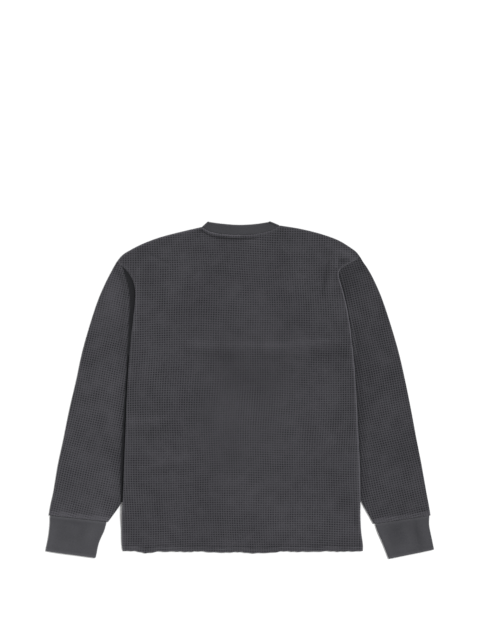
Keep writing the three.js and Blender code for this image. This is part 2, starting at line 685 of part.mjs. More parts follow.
// A rib cuff: a flattened tube with its ribs raised on the outside.
function cuffGeometry(side) {
  const sections = cuffSections[side];
  const high = 2 * ribCloth + slack;
  const radius = high / 2;
  const point = (at, place, inset) => {
    const w = widthShare(place, sectionLength(at), radius, inset);
    const out = mix(at.ox, at.ix, w);
    const x = side === 'left' ? -out : out;
    const y = mix(at.oy, at.iy, w);
    const puff = cuffLoft * Math.sin(Math.PI * clamp01(w)) ** fullness;
    const raised = inset ? 0 : (1 - place.ridge) * ribHeight;
    if (place.angle === 0) return [x, y, high + puff - raised - inset];
    if (place.angle === Math.PI) return [x, y, inset + raised];
    return [x, y, radius + (radius - inset) * Math.cos(place.angle)];
  };
  const steps = 2 * Math.round(sectionLength(sections[0]) / ribPitch);
  const ribbed = roundTube(evenly(steps).reverse(), evenly(steps));
  const plain = roundTube(evenly(insideSteps).reverse(), evenly(insideSteps));
  const grid = (places, inset) => sections.map((at) => places.map((p) => point(at, p, inset)));
  const ways = [ribbed, plain].map((places) => places.map((place) => place.way));
  return wall(grid(ribbed, 0), grid(plain, ribCloth), ways);
}

// The neck rib: a short flattened tube from its seam to its rim. Its upper layer lies along
// the back neck and its lower layer along the front neck. across counts from the left end.
function neckGeometry() {
  const high = 2 * ribCloth + slack;
  const radius = high / 2;
  const inLayer = (v, share, seamY, rimY, margin) => {
    const within = (ends) => mix(ends.left.x + margin, ends.right.x - margin, rounded(share));
    const seam = besideSeam(seamY, within(neckEnds));
    const x = within(rimEnds);
    return { x: mix(seam.x, x, v), y: mix(seam.y, rimY(x), v) };
  };
  const onBack = (v, share) => inLayer(v, share, backSeamY, backRimY, radius + backCorner);
  const onFront = (v, share) => inLayer(v, share, frontSeamY, frontRimY, frontCorner);
  const outward = ['left', 'right'].map((side) => {
    const [dx, dy] = ['x', 'y'].map((c) => rimEnds[side][c] - neckEnds[side][c]);
    const sign = (side === 'left' ? 1 : -1) / Math.hypot(dx, dy);
    return { x: -dy * sign, y: dx * sign };
  });
  const point = (v, place, inset) => {
    const raised = inset ? 0 : (1 - place.ridge) * ribHeight;
    if (place.angle === 0) {
      const { x, y } = onBack(v, place.across);
      return [x, y, high - raised - inset];
    }
    if (place.angle === Math.PI) {
      const { x, y } = onFront(v, place.across);
      return [x, y, inset + raised];
    }
    const end = place.end === 'outer' ? 0 : 1;
    const [back, front] = [onBack(v, end), onFront(v, end)];
    const lean = (1 - Math.cos(place.angle)) / 2;
    const reach = (radius - inset) * Math.sin(place.angle);
    return [
      mix(back.x, front.x, lean) + outward[end].x * reach,
      mix(back.y, front.y, lean) + outward[end].y * reach,
      radius + (radius - inset) * Math.cos(place.angle),
    ];
  };
  const backSteps = 2 * Math.round((neckEnds.right.x - neckEnds.left.x) / ribPitch);
  const frontSteps = 2 * Math.round((backSteps * frontToBack) / 2);
  const ribbed = roundTube(evenly(backSteps).reverse(), evenly(frontSteps));
  const plain = roundTube(evenly(2 * neckSteps).reverse(), evenly(2 * neckSteps));
  const grid = (places, inset) => [0, 1].map((v) => places.map((p) => point(v, p, inset)));
  const ways = [ribbed, plain].map((places) => places.map((place) => place.way));
  return wall(grid(ribbed, 0), grid(plain, ribCloth), ways);
}

const waffleCharcoal = { color: 0x45444a, roughness: 0.95 };
const ribCharcoal = { color: 0x4c4b50, roughness: 0.92 };

const top = new THREE.Group();
function addPiece(name, geometry, look) {
  const piece = new THREE.Mesh(geometry, new THREE.MeshStandardMaterial(look));
  piece.name = name;
  top.add(piece);
}

addPiece('back_panel', panelGeometry(backPanel), waffleCharcoal);
addPiece('front_panel', panelGeometry(frontPanel), waffleCharcoal);
for (const side of ['left', 'right']) {
  addPiece(`sleeve_${side}`, sleeveGeometry(side), waffleCharcoal);
  addPiece(`cuff_${side}`, cuffGeometry(side), ribCharcoal);
}
addPiece('neck_rib', neckGeometry(), ribCharcoal);

export default top;
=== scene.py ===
# A long-sleeved waffle-knit thermal top, laid flat on its front with its back up.
# The tables are in millimetres, as in the part's source, and the meshes are in metres.
# +Y points to the neck and +X to the wearer's right.
import math

import bpy
import mathutils
import numpy as np
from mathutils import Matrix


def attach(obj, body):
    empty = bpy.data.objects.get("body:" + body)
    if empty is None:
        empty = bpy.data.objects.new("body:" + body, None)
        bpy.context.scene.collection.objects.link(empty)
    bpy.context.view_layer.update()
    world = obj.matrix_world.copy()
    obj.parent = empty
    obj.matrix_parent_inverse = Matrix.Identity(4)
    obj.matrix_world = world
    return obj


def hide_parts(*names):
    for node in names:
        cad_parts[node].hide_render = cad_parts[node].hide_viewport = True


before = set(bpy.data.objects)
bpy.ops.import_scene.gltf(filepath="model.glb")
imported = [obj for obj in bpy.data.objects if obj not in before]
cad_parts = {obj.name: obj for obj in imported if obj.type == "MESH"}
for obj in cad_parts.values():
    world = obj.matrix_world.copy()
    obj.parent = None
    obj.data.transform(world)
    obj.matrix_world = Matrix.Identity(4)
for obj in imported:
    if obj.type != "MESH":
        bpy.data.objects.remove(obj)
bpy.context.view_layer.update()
print("frame loaded")

mm = 0.001

# The cloth: its thickness, the air between two layers, the arc on which an edge turns down,
# the gap at a seam, and the angle to which a sewn edge and the hem turn
cloth = dict(thick=1.8, ribThick=2.0, slack=0.9, turn=2.1, gap=0.4, seamTurn=55, hemTurn=38,
             ringSteps=4)
layerTop = 2 * cloth["thick"] + cloth["slack"]  # two layers laid flat
ribTop = 2 * cloth["ribThick"] + cloth["slack"]
foldRadius = layerTop / 2


def smooth(t):
    # 0 below 0, 1 above 1, and between them 3 t squared less 2 t cubed
    t = np.clip(t, 0, 1)
    return t * t * (3 - 2 * t)


def mix(a, b, t):
    # from a, at t 0, straight to b, at t 1
    return a + (b - a) * t


def bell(away, row):
    # high times e to the minus square of the distance from its place over its half width
    high, place, half = row
    return high * np.exp(-((away - place) / half) ** 2)


def along(rows, t, of=1):
    # a smooth curve through a table: between two rows a cubic, whose slope at each row is
    # the mean of the slopes beside it
    rows = np.asarray(rows, float)
    at, value = rows[:, 0], rows[:, of]
    rise = np.diff(value) / np.diff(at)
    slope = np.concatenate([rise[:1], (rise[:-1] + rise[1:]) / 2, rise[-1:]])
    t = np.clip(t, at[0], at[-1])
    i = np.clip(np.searchsorted(at, t, side="right") - 1, 0, len(at) - 2)
    span = at[i + 1] - at[i]
    k = (t - at[i]) / span
    return ((2 * k**3 - 3 * k**2 + 1) * value[i] + (k**3 - 2 * k**2 + k) * span * slope[i]
            + (3 * k**2 - 2 * k**3) * value[i + 1] + (k**3 - k**2) * span * slope[i + 1])


def slope(curve, at):
    # the slope of a curve, over one millimetre
    return curve(at + 0.5) - curve(at - 0.5)


def foldHeight(folds, x, y):
    # each fold is high times e to the minus square of the distance from its line over half
    total = np.zeros_like(x)
    for x0, y0, x1, y1, half, high in folds:
        dx, dy = x1 - x0, y1 - y0
        length = math.hypot(dx, dy)
        share = ((x - x0) * dx + (y - y0) * dy) / length**2
        off = ((x - x0) * dy - (y - y0) * dx) / length
        past = np.maximum(0, np.maximum(-share, share - 1)) * length
        total += high * np.exp(-(off**2 + past**2) / half**2)
    return total


def roundPatches(places, x, y):
    # the sum of soft round patches
    return sum(much * np.exp(-((x - a) / wide) ** 2 - ((y - b) / high) ** 2)
               for a, b, wide, high, much in places)


# The waffle: half a cell across and along, how deep a pit and a ridge's saddle lie, and over
# what distance it fades to plain cloth beside a seam. A wave is high, length, and the other
# direction's swing and length.
waffle = dict(across=2.625, along=2.46, originX=-82, originY=0, pit=1.12, saddle=0.3, fade=2.6,
              pitLeft=0.88, pitSlow=0.14, pitFine=0.08, driftAcross=(2.6, 83, 0.9, 105),
              driftAlong=(2.0, 91, 0.7, 120), waver=(1.1, 1.0))


def worked(x, y):
    # how much of the pits' depth washing has left: its mean, and two products of slow waves
    slow = np.sin(x / 23 + 1.3 * np.sin(y / 61)) * np.sin(y / 29 + 0.8 * np.sin(x / 47))
    fine = np.sin(x / 9 + y / 34) * np.sin(y / 11 - x / 41)
    return waffle["pitLeft"] + waffle["pitSlow"] * slow + waffle["pitFine"] * fine


def drift(x, y):
    # how far the knit's lines wander, sideways and up the body: a slow sine whose phase swings
    # with the other direction, and a low slanted one
    wide, tall, (a, b) = waffle["driftAcross"], waffle["driftAlong"], waffle["waver"]
    sideways = wide[0] * np.sin(y / wide[1] + wide[2] * np.sin(x / wide[3]))
    upward = tall[0] * np.sin(x / tall[1] + tall[2] * np.sin(y / tall[3]) + 2)
    return sideways + a * np.sin(y / 31 + x / 90 + 1), upward + b * np.sin(x / 37 - y / 80)


def pitDepth(u, v):
    # across a cell both waves run from 0 on a ridge to 1 at its middle: the pit lies where
    # both are 1, and a ridge sags a little between two crossings
    a, b = np.sin(math.pi * u) ** 2, np.sin(math.pi * v) ** 2
    return waffle["saddle"] * (a + b - 2 * a * b) + waffle["pit"] * a * b


def quads(index):
    # two triangles for each square of a grid of vertex numbers, cut the way that keeps a
    # pit's four sides apart
    a, b, c, d = index[:-1, :-1], index[:-1, 1:], index[1:, 1:], index[1:, :-1]
    odd = (np.add.outer(np.arange(a.shape[0]), np.arange(a.shape[1])) % 2 == 1)[..., None]
    one = np.where(odd, np.stack([a, b, d], -1), np.stack([a, b, c], -1))
    two = np.where(odd, np.stack([b, c, d], -1), np.stack([a, c, d], -1))
    return np.concatenate([one.reshape(-1, 3), two.reshape(-1, 3)])


def border(index):
    # the grid's outline as one ring, without its first number again
    return np.concatenate([index[0, :-1], index[:-1, -1], index[-1, :0:-1], index[:0:-1, 0]])


def ribbon(ring, nextRing):
    # a band of squares between two rings of as many points
    a, b = ring, np.roll(ring, -1)
    c, d = np.roll(nextRing, -1), nextRing
    return np.concatenate([np.stack([a, d, b], -1), np.stack([b, d, c], -1)])


def fanBand(fine, coarse):
    # a band between a fine ring and a coarse one with a quarter of its points
    n = len(fine)
    near = ((np.arange(n) + 2) // 4) % len(coarse)
    fans = np.stack([fine, coarse[near], np.roll(fine, -1)], -1)
    k = np.arange(len(coarse))
    middles = np.stack([coarse, np.roll(coarse, -1), fine[(4 * k + 2) % n]], -1)
    return np.concatenate([fans, middles])


def addObject(name, data):
    # an object in the scene with a mesh, a lamp or a camera as its data
    added = bpy.data.objects.new(name, data)
    bpy.context.scene.collection.objects.link(added)
    return added


def addPoints(shell, points, uv, tone, only=slice(None)):
    # puts a grid's points, or only some, into a shell with their places in the knit and their
    # tone, and gives their numbers
    tone = np.broadcast_to(tone, points.shape[:-1]).ravel()[only]
    first = sum(map(len, shell["points"]))
    shell["points"].append(points.reshape(-1, 3)[only])
    shell["uv"].append(uv.reshape(-1, 2)[only])
    shell["tone"].append(tone)
    return first + np.arange(len(tone))


def turnDown(shell, ring, layer, tone):
    # rings of points on the arc on which an edge turns down, each joined to the one before.
    # layer gives the grid's points and cells from how far they run in and how far they drop.
    radius, rim = cloth["turn"], ring
    for k in range(1, cloth["ringSteps"] + 1):
        share = k / cloth["ringSteps"]
        points, uv = layer(lambda turn: radius * (np.sin(turn) - np.sin(turn * share)),
                           lambda turn: radius * (1 - np.cos(turn * share)))
        newRing = addPoints(shell, points, uv, tone, rim)
        shell["faces"].append(ribbon(ring, newRing))
        ring = newRing
    return ring


def makePiece(name, shell, flat, flip):
    # one mesh object from points in millimetres: equal points are merged, faces that
    # collapse go, and uv and tone are kept for the materials
    points, faces, uv, tone = (np.concatenate(shell[key]) for key in ("points", "faces", "uv", "tone"))
    rounded = np.round(points * 1e4).astype(np.int64)
    _, first, back = np.unique(rounded, axis=0, return_index=True, return_inverse=True)
    back = back.reshape(-1)
    faces = back[faces]
    if flip:
        faces = faces[:, ::-1]
    faces = faces[(faces != np.roll(faces, 1, axis=1)).all(1)]
    points, uv, tone = points[first], uv[first], tone[first]
    mesh = bpy.data.meshes.new(name)
    mesh.vertices.add(len(points))
    mesh.vertices.foreach_set("co", (points * mm).astype(np.float32).ravel())
    mesh.loops.add(faces.size)
    mesh.loops.foreach_set("vertex_index", faces.astype(np.int32).ravel())
    mesh.polygons.add(len(faces))
    mesh.polygons.foreach_set("loop_start", np.arange(0, faces.size, 3, dtype=np.int32))
    mesh.update(calc_edges=True)
    layer = mesh.uv_layers.new(name="cells")
    layer.data.foreach_set("uv", uv[faces.ravel()].astype(np.float32).ravel())
    attribute = mesh.attributes.new("tone", "FLOAT", "POINT")
    attribute.data.foreach_set("value", tone.astype(np.float32))
    mesh.polygons.foreach_set("use_smooth", np.full(len(faces), not flat))
    mesh.validate()
    piece = addObject(name, mesh)
    corners = points[faces]
    volume = np.einsum("ij,ij->i", corners[:, 0], np.cross(corners[:, 1], corners[:, 2])).sum() / 6
    print(f"{name}: {len(faces)} triangles, {volume / 1000:.1f} cubic centimetres")
    return piece


# Stitches: from one to the next, the length, half thickness and height of one, how far it is
# sunk, how much paler it is, and the shares of its length where its thickness is given
thread = dict(pitch=2.9, long=2.45, radius=0.3, rise=0.3, sink=0.05, tone=0.22, sides=6,
              at=(0, 0.18, 0.5, 0.82, 1), thickness=(0, 0.8, 1, 0.8, 0))


def addStitches(path, shell, turned):
    # A row of stitches along a path: each a bar with six sides and pointed ends, whose middle
    # stands above the cloth by a sine's half wave. turned has its faces look inward, for a
    # piece that is turned over later.
    steps = np.concatenate([[0], np.cumsum(np.linalg.norm(np.diff(path, axis=0), axis=1))])
    number = int(steps[-1] / thread["pitch"])
    share = np.array(thread["at"])
    at = np.arange(number)[:, None] * thread["pitch"] + share * thread["long"]
    middle = np.stack([np.interp(at, steps, path[:, c]) for c in range(3)], -1)
    middle[..., 2] += thread["rise"] * np.sin(math.pi * share) - thread["sink"]
    way = middle[:, -1] - middle[:, 0]
    across = np.stack([-way[:, 1], way[:, 0], 0 * way[:, 0]], -1)
    across /= np.hypot(way[:, 0], way[:, 1])[:, None]
    sides = thread["sides"]
    angle = 2 * math.pi * (np.arange(sides + 1) % sides) / sides
    ring = np.cos(angle)[:, None] * across[:, None, None] + np.sin(angle)[:, None] * np.array([0, 0, 1])
    radius = thread["radius"] * np.array(thread["thickness"])
    bars = (middle[:, :, None] + radius[:, None, None] * ring).reshape(-1, 3)
    size = len(share) * (sides + 1)
    one = quads(np.arange(size).reshape(len(share), sides + 1))
    first = addPoints(shell, bars, np.zeros((len(bars), 2)), thread["tone"])[0]
    rows = (one + size * np.arange(number)[:, None, None]).reshape(-1, 3) + first
    shell["faces"].append(rows[:, ::-1] if turned else rows)


# The body's outline. A side is a table of height and distance from the middle, the shoulders
# and the hem of place across and height. lift is how high it rises over a tucked sleeve.
body = dict(
    side=dict(
        left=[(-345, 251.5), (-333, 253.5), (-305, 254.5), (-272, 254), (-238, 252), (-174, 249.5),
              (-88, 246), (-2, 242.5), (63, 238.5), (95, 235.5), (149, 230), (181, 226.5),
              (213, 225.5), (237, 231), (256, 243.5), (275, 264.5)],
        right=[(-345, 264), (-333, 264), (-305, 260.5), (-272, 258.5), (-238, 258.5), (-174, 257.5),
               (-88, 253.5), (-2, 249), (63, 244.5), (95, 241), (149, 234.5), (187, 227.5),
               (221, 219), (242, 213), (255, 213.5), (265, 222), (274, 239), (285.5, 258.5)],
    ),
    shoulder=dict(
        left=[(-264.5, 275), (-254, 288.5), (-234.5, 301.5), (-208.5, 314.5), (-174, 327.5),
              (-127, 340), (-82, 350.5)],
        right=[(86, 353.5), (129, 346.5), (178.5, 334), (213, 321), (234.5, 308), (251.5, 295),
               (258.5, 285.5)],
    ),
    hem=[(-252, -345), (-225, -346), (-200, -349.5), (-170, -346.5), (-120, -347), (-80, -346.5),
         (-37, -349), (-10, -347.5), (20, -349.5), (45, -350), (65, -349), (90, -346.5),
         (140, -347), (190, -346), (235, -346.5), (266, -345)],
    armpit=76, lift=5.6, ramp=48, clearance=11,
    # where a sleeve's underarm fold lies beneath the body, by height on the body
    tuck=dict(
        left=[(-300, 303), (-240, 253), (-198, 234), (-158, 215), (-120, 198), (-85, 184), (-52, 179),
              (-22, 186), (8, 201), (32, 222), (54, 234), (76, 239), (100, 245), (125, 258),
              (150, 270), (180, 284), (235, 305), (280, 335)],
        right=[(-300, 308), (-240, 261), (-198, 242), (-158, 222), (-120, 204), (-85, 190),
               (-52, 185), (-22, 192), (8, 207), (32, 228), (54, 240), (76, 244), (100, 250),
               (125, 263), (150, 275), (180, 288), (235, 307), (290, 335)],
    ),
    # folds: a ridge, or a trough where high is negative, from one end to the other, with its
    # half width across. x0, y0, x1, y1, half, high
    folds=[
        (-112, 97, 20, 95, 9, 2.0), (30, 93, 212, 105, 9, 1.9),  # the packing crease
        (-118, 79, -22, 70, 9, -0.8), (50, 66, 222, 72, 10, -0.7),  # below it
        (-236, -70, -165, -62, 9, 1.8), (-234, -92, -160, -84, 8, -0.7),  # left drag
        (-215, -168, -118, -146, 10, 1.6), (-216, -186, -130, -166, 8, -0.6),  # left lower drag
        (-238, 262, -168, 284, 8, 1.2), (-200, 302, -150, 316, 5, -0.8),  # left shoulder
        (-156, 272, -196, 292, 4, -0.8), (-178, 274, -120, 276, 3, -0.7),
        (-221, 256, -227, 130, 7, 2.6), (224, 225, 231, 120, 6, 0.9),  # along the armholes
        (196, 268, 206, 280, 18, 1.6), (204, 298, 230, 292, 7, 1.6),  # right shoulder
        (214, 277, 229, 279, 4.5, -1.6), (204, 283, 206, 262, 2.6, 1.3),
        (188, 277, 175, 206, 4.5, -1.5), (198, 270, 190, 200, 7, 1.2),  # right blade
        (237, 20, 233, -130, 5, -0.7), (241, -190, 247, -300, 5, -0.7),  # beside the right edge
        (247, 30, 252, -330, 4, 0.8),
        (-60, 20, -30, -260, 26, 1.0), (90, 10, 70, -300, 30, 1.0), (150, 200, 130, 60, 24, 0.8),
        (-150, 220, -120, 120, 24, 1.0), (40, 230, 60, 130, 22, 0.6), (-190, 40, -180, -30, 20, 0.7),
        (170, -60, 190, -240, 24, 0.7),
        (-92, 328, 34, 323, 2.4, -0.8),  # neck tape
    ],
    # paler and darker places, painted light and shade with some wear: x, y, half width, half height, how
    # much
    paintedLightAndWear=[
        (232, 291, 20, 9, 0.13), (221, 277, 9, 5, -0.2), (245, 283, 10, 6, 0.13),
        (206, 270, 3, 12, 0.08), (181, 245, 5, 34, -0.09),
        (-74, 99, 26, 7, 0.04), (-20, 96, 18, 6, 0.02), (80, 96, 34, 7, 0.05), (176, 104, 30, 8, 0.05),
        (-40, 72, 60, 11, -0.05), (80, 70, 40, 9, -0.04), (190, 80, 40, 12, -0.05),
        (90, 262, 12, 46, -0.03), (130, 200, 16, 60, 0.03), (-110, 190, 30, 22, -0.03),
        (-70, 300, 50, 12, -0.03), (60, 150, 30, 60, 0.02), (-160, 150, 30, 60, 0.03),
        (-196, 296, 22, 10, -0.04), (-170, -62, 40, 9, 0.03), (-190, -90, 60, 10, -0.03),
        (-150, -135, 50, 9, 0.04), (0, 200, 70, 60, 0.02), (246, -150, 6, 190, 0.05),
        (-60, 40, 200, 26, -0.03), (20, -200, 90, 120, 0.03), (-226, 200, 14, 60, 0.03),
    ],
    # ridges beside an edge, and the paler or darker line on them: high, how far in, half width. The
    # lines are painted light and shade: a highlight, with some wear, on the body's edge, on the tape, on
    # the hem's ridge and at its edge, and a shadow below the tape and in the hem's groove; fold lightens
    # the folds' ridges and darkens their troughs
    ridges=dict(armhole=(0.8, 2.6, 1.5), tape=(0.7, 4.6, 2.4), hem=(0.8, 7.4, 1.9),
                hemGroove=(-0.5, 11.5, 1.8)),
    tones=dict(edge=(1, 1, 2.2), tape=(0.04, 3.4, 1.6), underTape=(-0.28, 8.5, 2.2),
               hem=(0.2, 7.4, 1.8), hemGroove=(-0.1, 11.5, 1.6), hemEdge=(0.3, 0, 2), fold=0.025),
    # painted highlight along the sides, with some wear: how strong low and high on each side and where
    # it changes; underTape is where the painted shadow below the tape runs
    edgeLightAndWear=dict(leftLow=0.4, left=0.05, leftFrom=-250, leftTo=268, right=0.45, rightTop=0.15,
                  rightFrom=252, underTape=(-96, 44)),
    patch=dict(x=8.5, y=284, halfWidth=35, halfHeight=36, high=0.35, soft=2.6),
    turnOver=12, seamFrom=80, seamOver=30, swell=0.3, fray=(0.5, 0.45), hemPlain=8,
    stitchRows=(3.0, 6.6), stitchIn=3.1, stitchTo=272,
)


def lift(x, y):
    # the body's height over a tucked sleeve: an ease that ends before the sleeve's fold
    tuck = body["tuck"]
    full = np.where(x < 0, along(tuck["left"], y), along(tuck["right"], y)) - body["clearance"]
    return body["lift"] * smooth((np.abs(x) - full + body["ramp"]) / body["ramp"])


# The neck's seam on the back and its rim, as out and up. The front's hang in a round curve.
neck = dict(
    seam=[(-82, 350.5), (-66, 341.3), (-42, 336), (-2, 333.3), (40, 336.5), (66, 343.2),
          (86, 353.5)],
    rim=[(-69.5, 361.5), (-40, 357.5), (-2, 354.8), (36, 357), (65.5, 361.5)],
    frontDrop=84, round=2.6, width=21, gap=0.35, backCorner=1.4, frontCorner=0.5,
    # rimTone is a painted highlight on the rolled rim: how much, from where and over what; tone is the
    # rib's own darker colour
    ribs=88, frontShare=1.5, steps=7, rimTone=(0.3, 0.85, 0.15), tone=-0.13, cells=3,
)


def frontNeckY(ends, drop, x):
    # a line between the neck's ends, less a drop that hangs in a round curve
    (xl, yl), (xr, yr) = ends
    share = np.clip((x - xl) / (xr - xl), 0, 1)
    return mix(yl, yr, share) - drop * (1 - np.abs(2 * share - 1) ** neck["round"])


neckEnds = (neck["seam"][0], neck["seam"][-1])
rimEnds = (neck["rim"][0], neck["rim"][-1])
frontRimDrop = neck["frontDrop"] - neck["width"] + rimEnds[0][1] - neckEnds[0][1]
backSeamY = lambda x: along(neck["seam"], x)
backRimY = lambda x: along(neck["rim"], x)
frontSeamY = lambda x: frontNeckY(neckEnds, neck["frontDrop"], x)
frontRimY = lambda x: frontNeckY(rimEnds, frontRimDrop, x)


def panelTop(x, neckY):
    # the panel's upper edge: shoulder, neck, shoulder
    onLeft, onRight = x <= neckEnds[0][0], x >= neckEnds[1][0]
    shoulder = body["shoulder"]
    shoulders = np.where(onLeft, along(shoulder["left"], x), along(shoulder["right"], x))
    return np.where(onLeft | onRight, shoulders, neckY(x))


def bodyPanel(name, up, topY, folds):
    # A panel on a straight grid of half cells. A grid point outside the outline is drawn to
    # it, first sideways and then up or down. The face is the lift, the layers and the folds.
    # Towards the outline the cloth turns down on an arc in rings, and the plain inside
    # follows it a cloth's thickness away on every fourth line of the grid.
    radius, thick = cloth["turn"], cloth["thick"]
    x = waffle["originX"] + waffle["across"] * np.arange(-76, 140 + 1)
    y = waffle["originY"] + waffle["along"] * np.arange(-148, 148 + 1)
    gx, gy = np.meshgrid(x, y)
    left = lambda y: -along(body["side"]["left"], y)
    right = lambda y: along(body["side"]["right"], y)
    coarseFray, fineFray = body["fray"]
    fray = lambda x: coarseFray * np.sin(x / 3.1 + 2 * np.sin(x / 17)) + fineFray * np.sin(x / 7.3 + up)
    hem = lambda x: along(body["hem"], x) + fray(x)
    atX = np.clip(gx, left(gy), right(gy))
    wanderX, wanderY = drift(atX, np.clip(gy, hem(atX), topY(atX)))
    gx, gy = gx + wanderX, gy + wanderY
    full = math.pi / 2
    seamTurn, hemTurn = math.radians(cloth["seamTurn"]), math.radians(cloth["hemTurn"])
    ridges, tones, edgeLightAndWear = body["ridges"], body["tones"], body["edgeLightAndWear"]
    sideTurn = lambda y: mix(full, seamTurn, smooth(1 + (y - body["armpit"]) / body["turnOver"]))
    atNeck = lambda x: (x > neckEnds[0][0] + 0.01) & (x < neckEnds[1][0] - 0.01)
    topTurn = lambda x: np.where(atNeck(x), seamTurn, full)

    def drawn(run):
        # the grid drawn to the outline, less what the turned edge still takes in plan
        sideRun, hemRun = run(sideTurn(gy)), run(hemTurn)
        lo, hi = left(gy) + sideRun, right(gy) - sideRun
        px = np.clip(gx, lo, hi)
        low, high = hem(px) + hemRun, topY(px) - run(topTurn(px))
        py = np.clip(gy, low, high)
        atSide = (gx <= lo) | (gx >= hi)
        return px, py, atSide, gy <= low, gy >= high

    def turned(px, py, flags, drop):
        atSide, atHem, atTop = flags
        side = np.where(atSide, drop(sideTurn(py)), 0)
        top = np.where(atTop, drop(topTurn(px)), 0)
        edge = np.where(atHem, drop(hemTurn), 0)
        return np.maximum(np.maximum(side, top), edge)

    def inset(px, py):
        # how far a point is from the sides, square to them, and from the top and the hem
        fromLeft = (px - left(py)) / np.hypot(1, slope(left, py))
        fromRight = (right(py) - px) / np.hypot(1, slope(right, py))
        return np.minimum(fromLeft, fromRight), topY(px) - py, py - hem(px)

    def face(px, py):
        side, top, bottom = inset(px, py)
        z = lift(px, py)
        if up > 0:
            z = z + layerTop + foldHeight(folds, px, py)
            z += bell(side, ridges["armhole"]) * smooth((py - body["seamFrom"]) / body["seamOver"])
            z += np.where(atNeck(px), bell(top, ridges["tape"]), 0)
            z += bell(bottom, ridges["hem"]) + bell(bottom, ridges["hemGroove"])
            z += body["swell"] * np.sin(px / 31 + 0.6 * np.sin(py / 47)) * np.sin(py / 39 + px / 90)
            patch = body["patch"]
            past = np.maximum(np.abs(px - patch["x"]) - patch["halfWidth"],
                              np.abs(py - patch["y"]) - patch["halfHeight"])
            z += patch["high"] * smooth(0.5 - past / patch["soft"])
        return z

    def cells(px, py):
        wanderX, wanderY = drift(px, py)
        return np.stack([(px - wanderX - waffle["originX"]) / (2 * waffle["across"]),
                         (py - wanderY - waffle["originY"]) / (2 * waffle["along"])], -1)

    def toneOf(px, py):
        side, top, bottom = inset(px, py)
        nearest = np.minimum(side, top)
        ragged = 0.6 + 0.4 * np.sin(px / 13 + 2 * np.sin(px / 37))
        # painted highlight on the hem's ridge and at its edge, and painted shade in its groove
        hemLine = bell(bottom, tones["hem"]) * ragged
        hemLine = hemLine + bell(bottom, tones["hemGroove"]) + bell(bottom, tones["hemEdge"])
        sewn = smooth((py - edgeLightAndWear["leftFrom"]) / 20) * (py < edgeLightAndWear["leftTo"])
        atTop = smooth((py - edgeLightAndWear["rightFrom"]) / 14)
        paintedLightAndWear = np.where(px < 0, mix(edgeLightAndWear["leftLow"], edgeLightAndWear["left"], sewn),
                        mix(edgeLightAndWear["right"], edgeLightAndWear["rightTop"], atTop))
        # the edges get a painted highlight with some wear, and the hem its painted lines
        tone = paintedLightAndWear * bell(nearest, tones["edge"]) + hemLine
        if up > 0:
            # painted light on the folds' ridges and painted shade in their troughs, and the painted
            # light and shade of the patches
            tone = tone + tones["fold"] * foldHeight(folds, px, py) + roundPatches(body["paintedLightAndWear"], px, py)
            begin, end = edgeLightAndWear["underTape"]
            span = smooth((px - begin) / 14) * smooth((end - px) / 14)
            # a painted shadow below the tape, then a painted highlight on the tape
            tone = tone + bell(top, tones["underTape"]) * span
            tone = tone + bell(top, tones["tape"]) * atNeck(px)
        return tone

    px, py, *flags = drawn(lambda turn: radius * np.sin(turn))
    nearest = np.minimum.reduce(inset(px, py))
    uv = cells(px, py)
    fade = smooth((nearest - 2.2) / waffle["fade"]) * smooth((inset(px, py)[2] - body["hemPlain"]) / 4)
    relief = pitDepth(uv[..., 0], uv[..., 1]) * fade * worked(px, py)
    outer = np.stack([px, py, face(px, py) - up * relief], -1)
    index = np.arange(px.size).reshape(px.shape)
    tone = toneOf(px, py)
    shell = dict(points=[], uv=[], tone=[], faces=[quads(index)])
    addPoints(shell, outer, uv, tone)

    def layer(run, drop):
        qx, qy, *_ = drawn(run)
        qz = face(px, py) - up * turned(px, py, flags, drop)
        return np.stack([qx, qy, qz], -1), cells(qx, qy)

    ring = turnDown(shell, border(index), layer, tone)
    # the inside's last ring, then its plain face
    lip, lipUv = layer(lambda turn: thick * np.sin(turn),
                       lambda turn: thick + (radius - thick) * (1 - np.cos(turn)))
    lip, lipUv = lip[::4, ::4], lipUv[::4, ::4]
    small = np.arange(lip[..., 0].size).reshape(lip.shape[:2])
    lipRing = addPoints(shell, lip, lipUv, 0, border(small))
    shell["faces"].append(fanBand(ring, lipRing))
    inner = np.stack([px, py, face(px, py) - up * thick], -1)[::4, ::4]
    innerIndex = addPoints(shell, inner, cells(px, py)[::4, ::4], 0)[small]
    shell["faces"] += [ribbon(lipRing, border(innerIndex)), quads(innerIndex)[:, ::-1]]
    if up > 0:
        # a row of stitches beside each armhole, and two below the neck's seam
        upX = np.linspace(neckEnds[0][0] + 6, neckEnds[1][0] - 6, 300)
        paths = [np.stack([upX, topY(upX) - off], -1) for off in body["stitchRows"]]
        upY = np.linspace(body["armpit"] + 6, body["stitchTo"], 300)
        for edge, off in ((left, body["stitchIn"]), (right, -body["stitchIn"])):
            off = off / np.hypot(1, slope(edge, upY))
            paths.append(np.stack([edge(upY) + off, upY - off * slope(edge, upY)], -1))
        for path in paths:
            path = np.concatenate([path, face(path[:, 0], path[:, 1])[:, None]], 1)
            addStitches(path, shell, False)
    return makePiece(name, shell, True, up < 0)


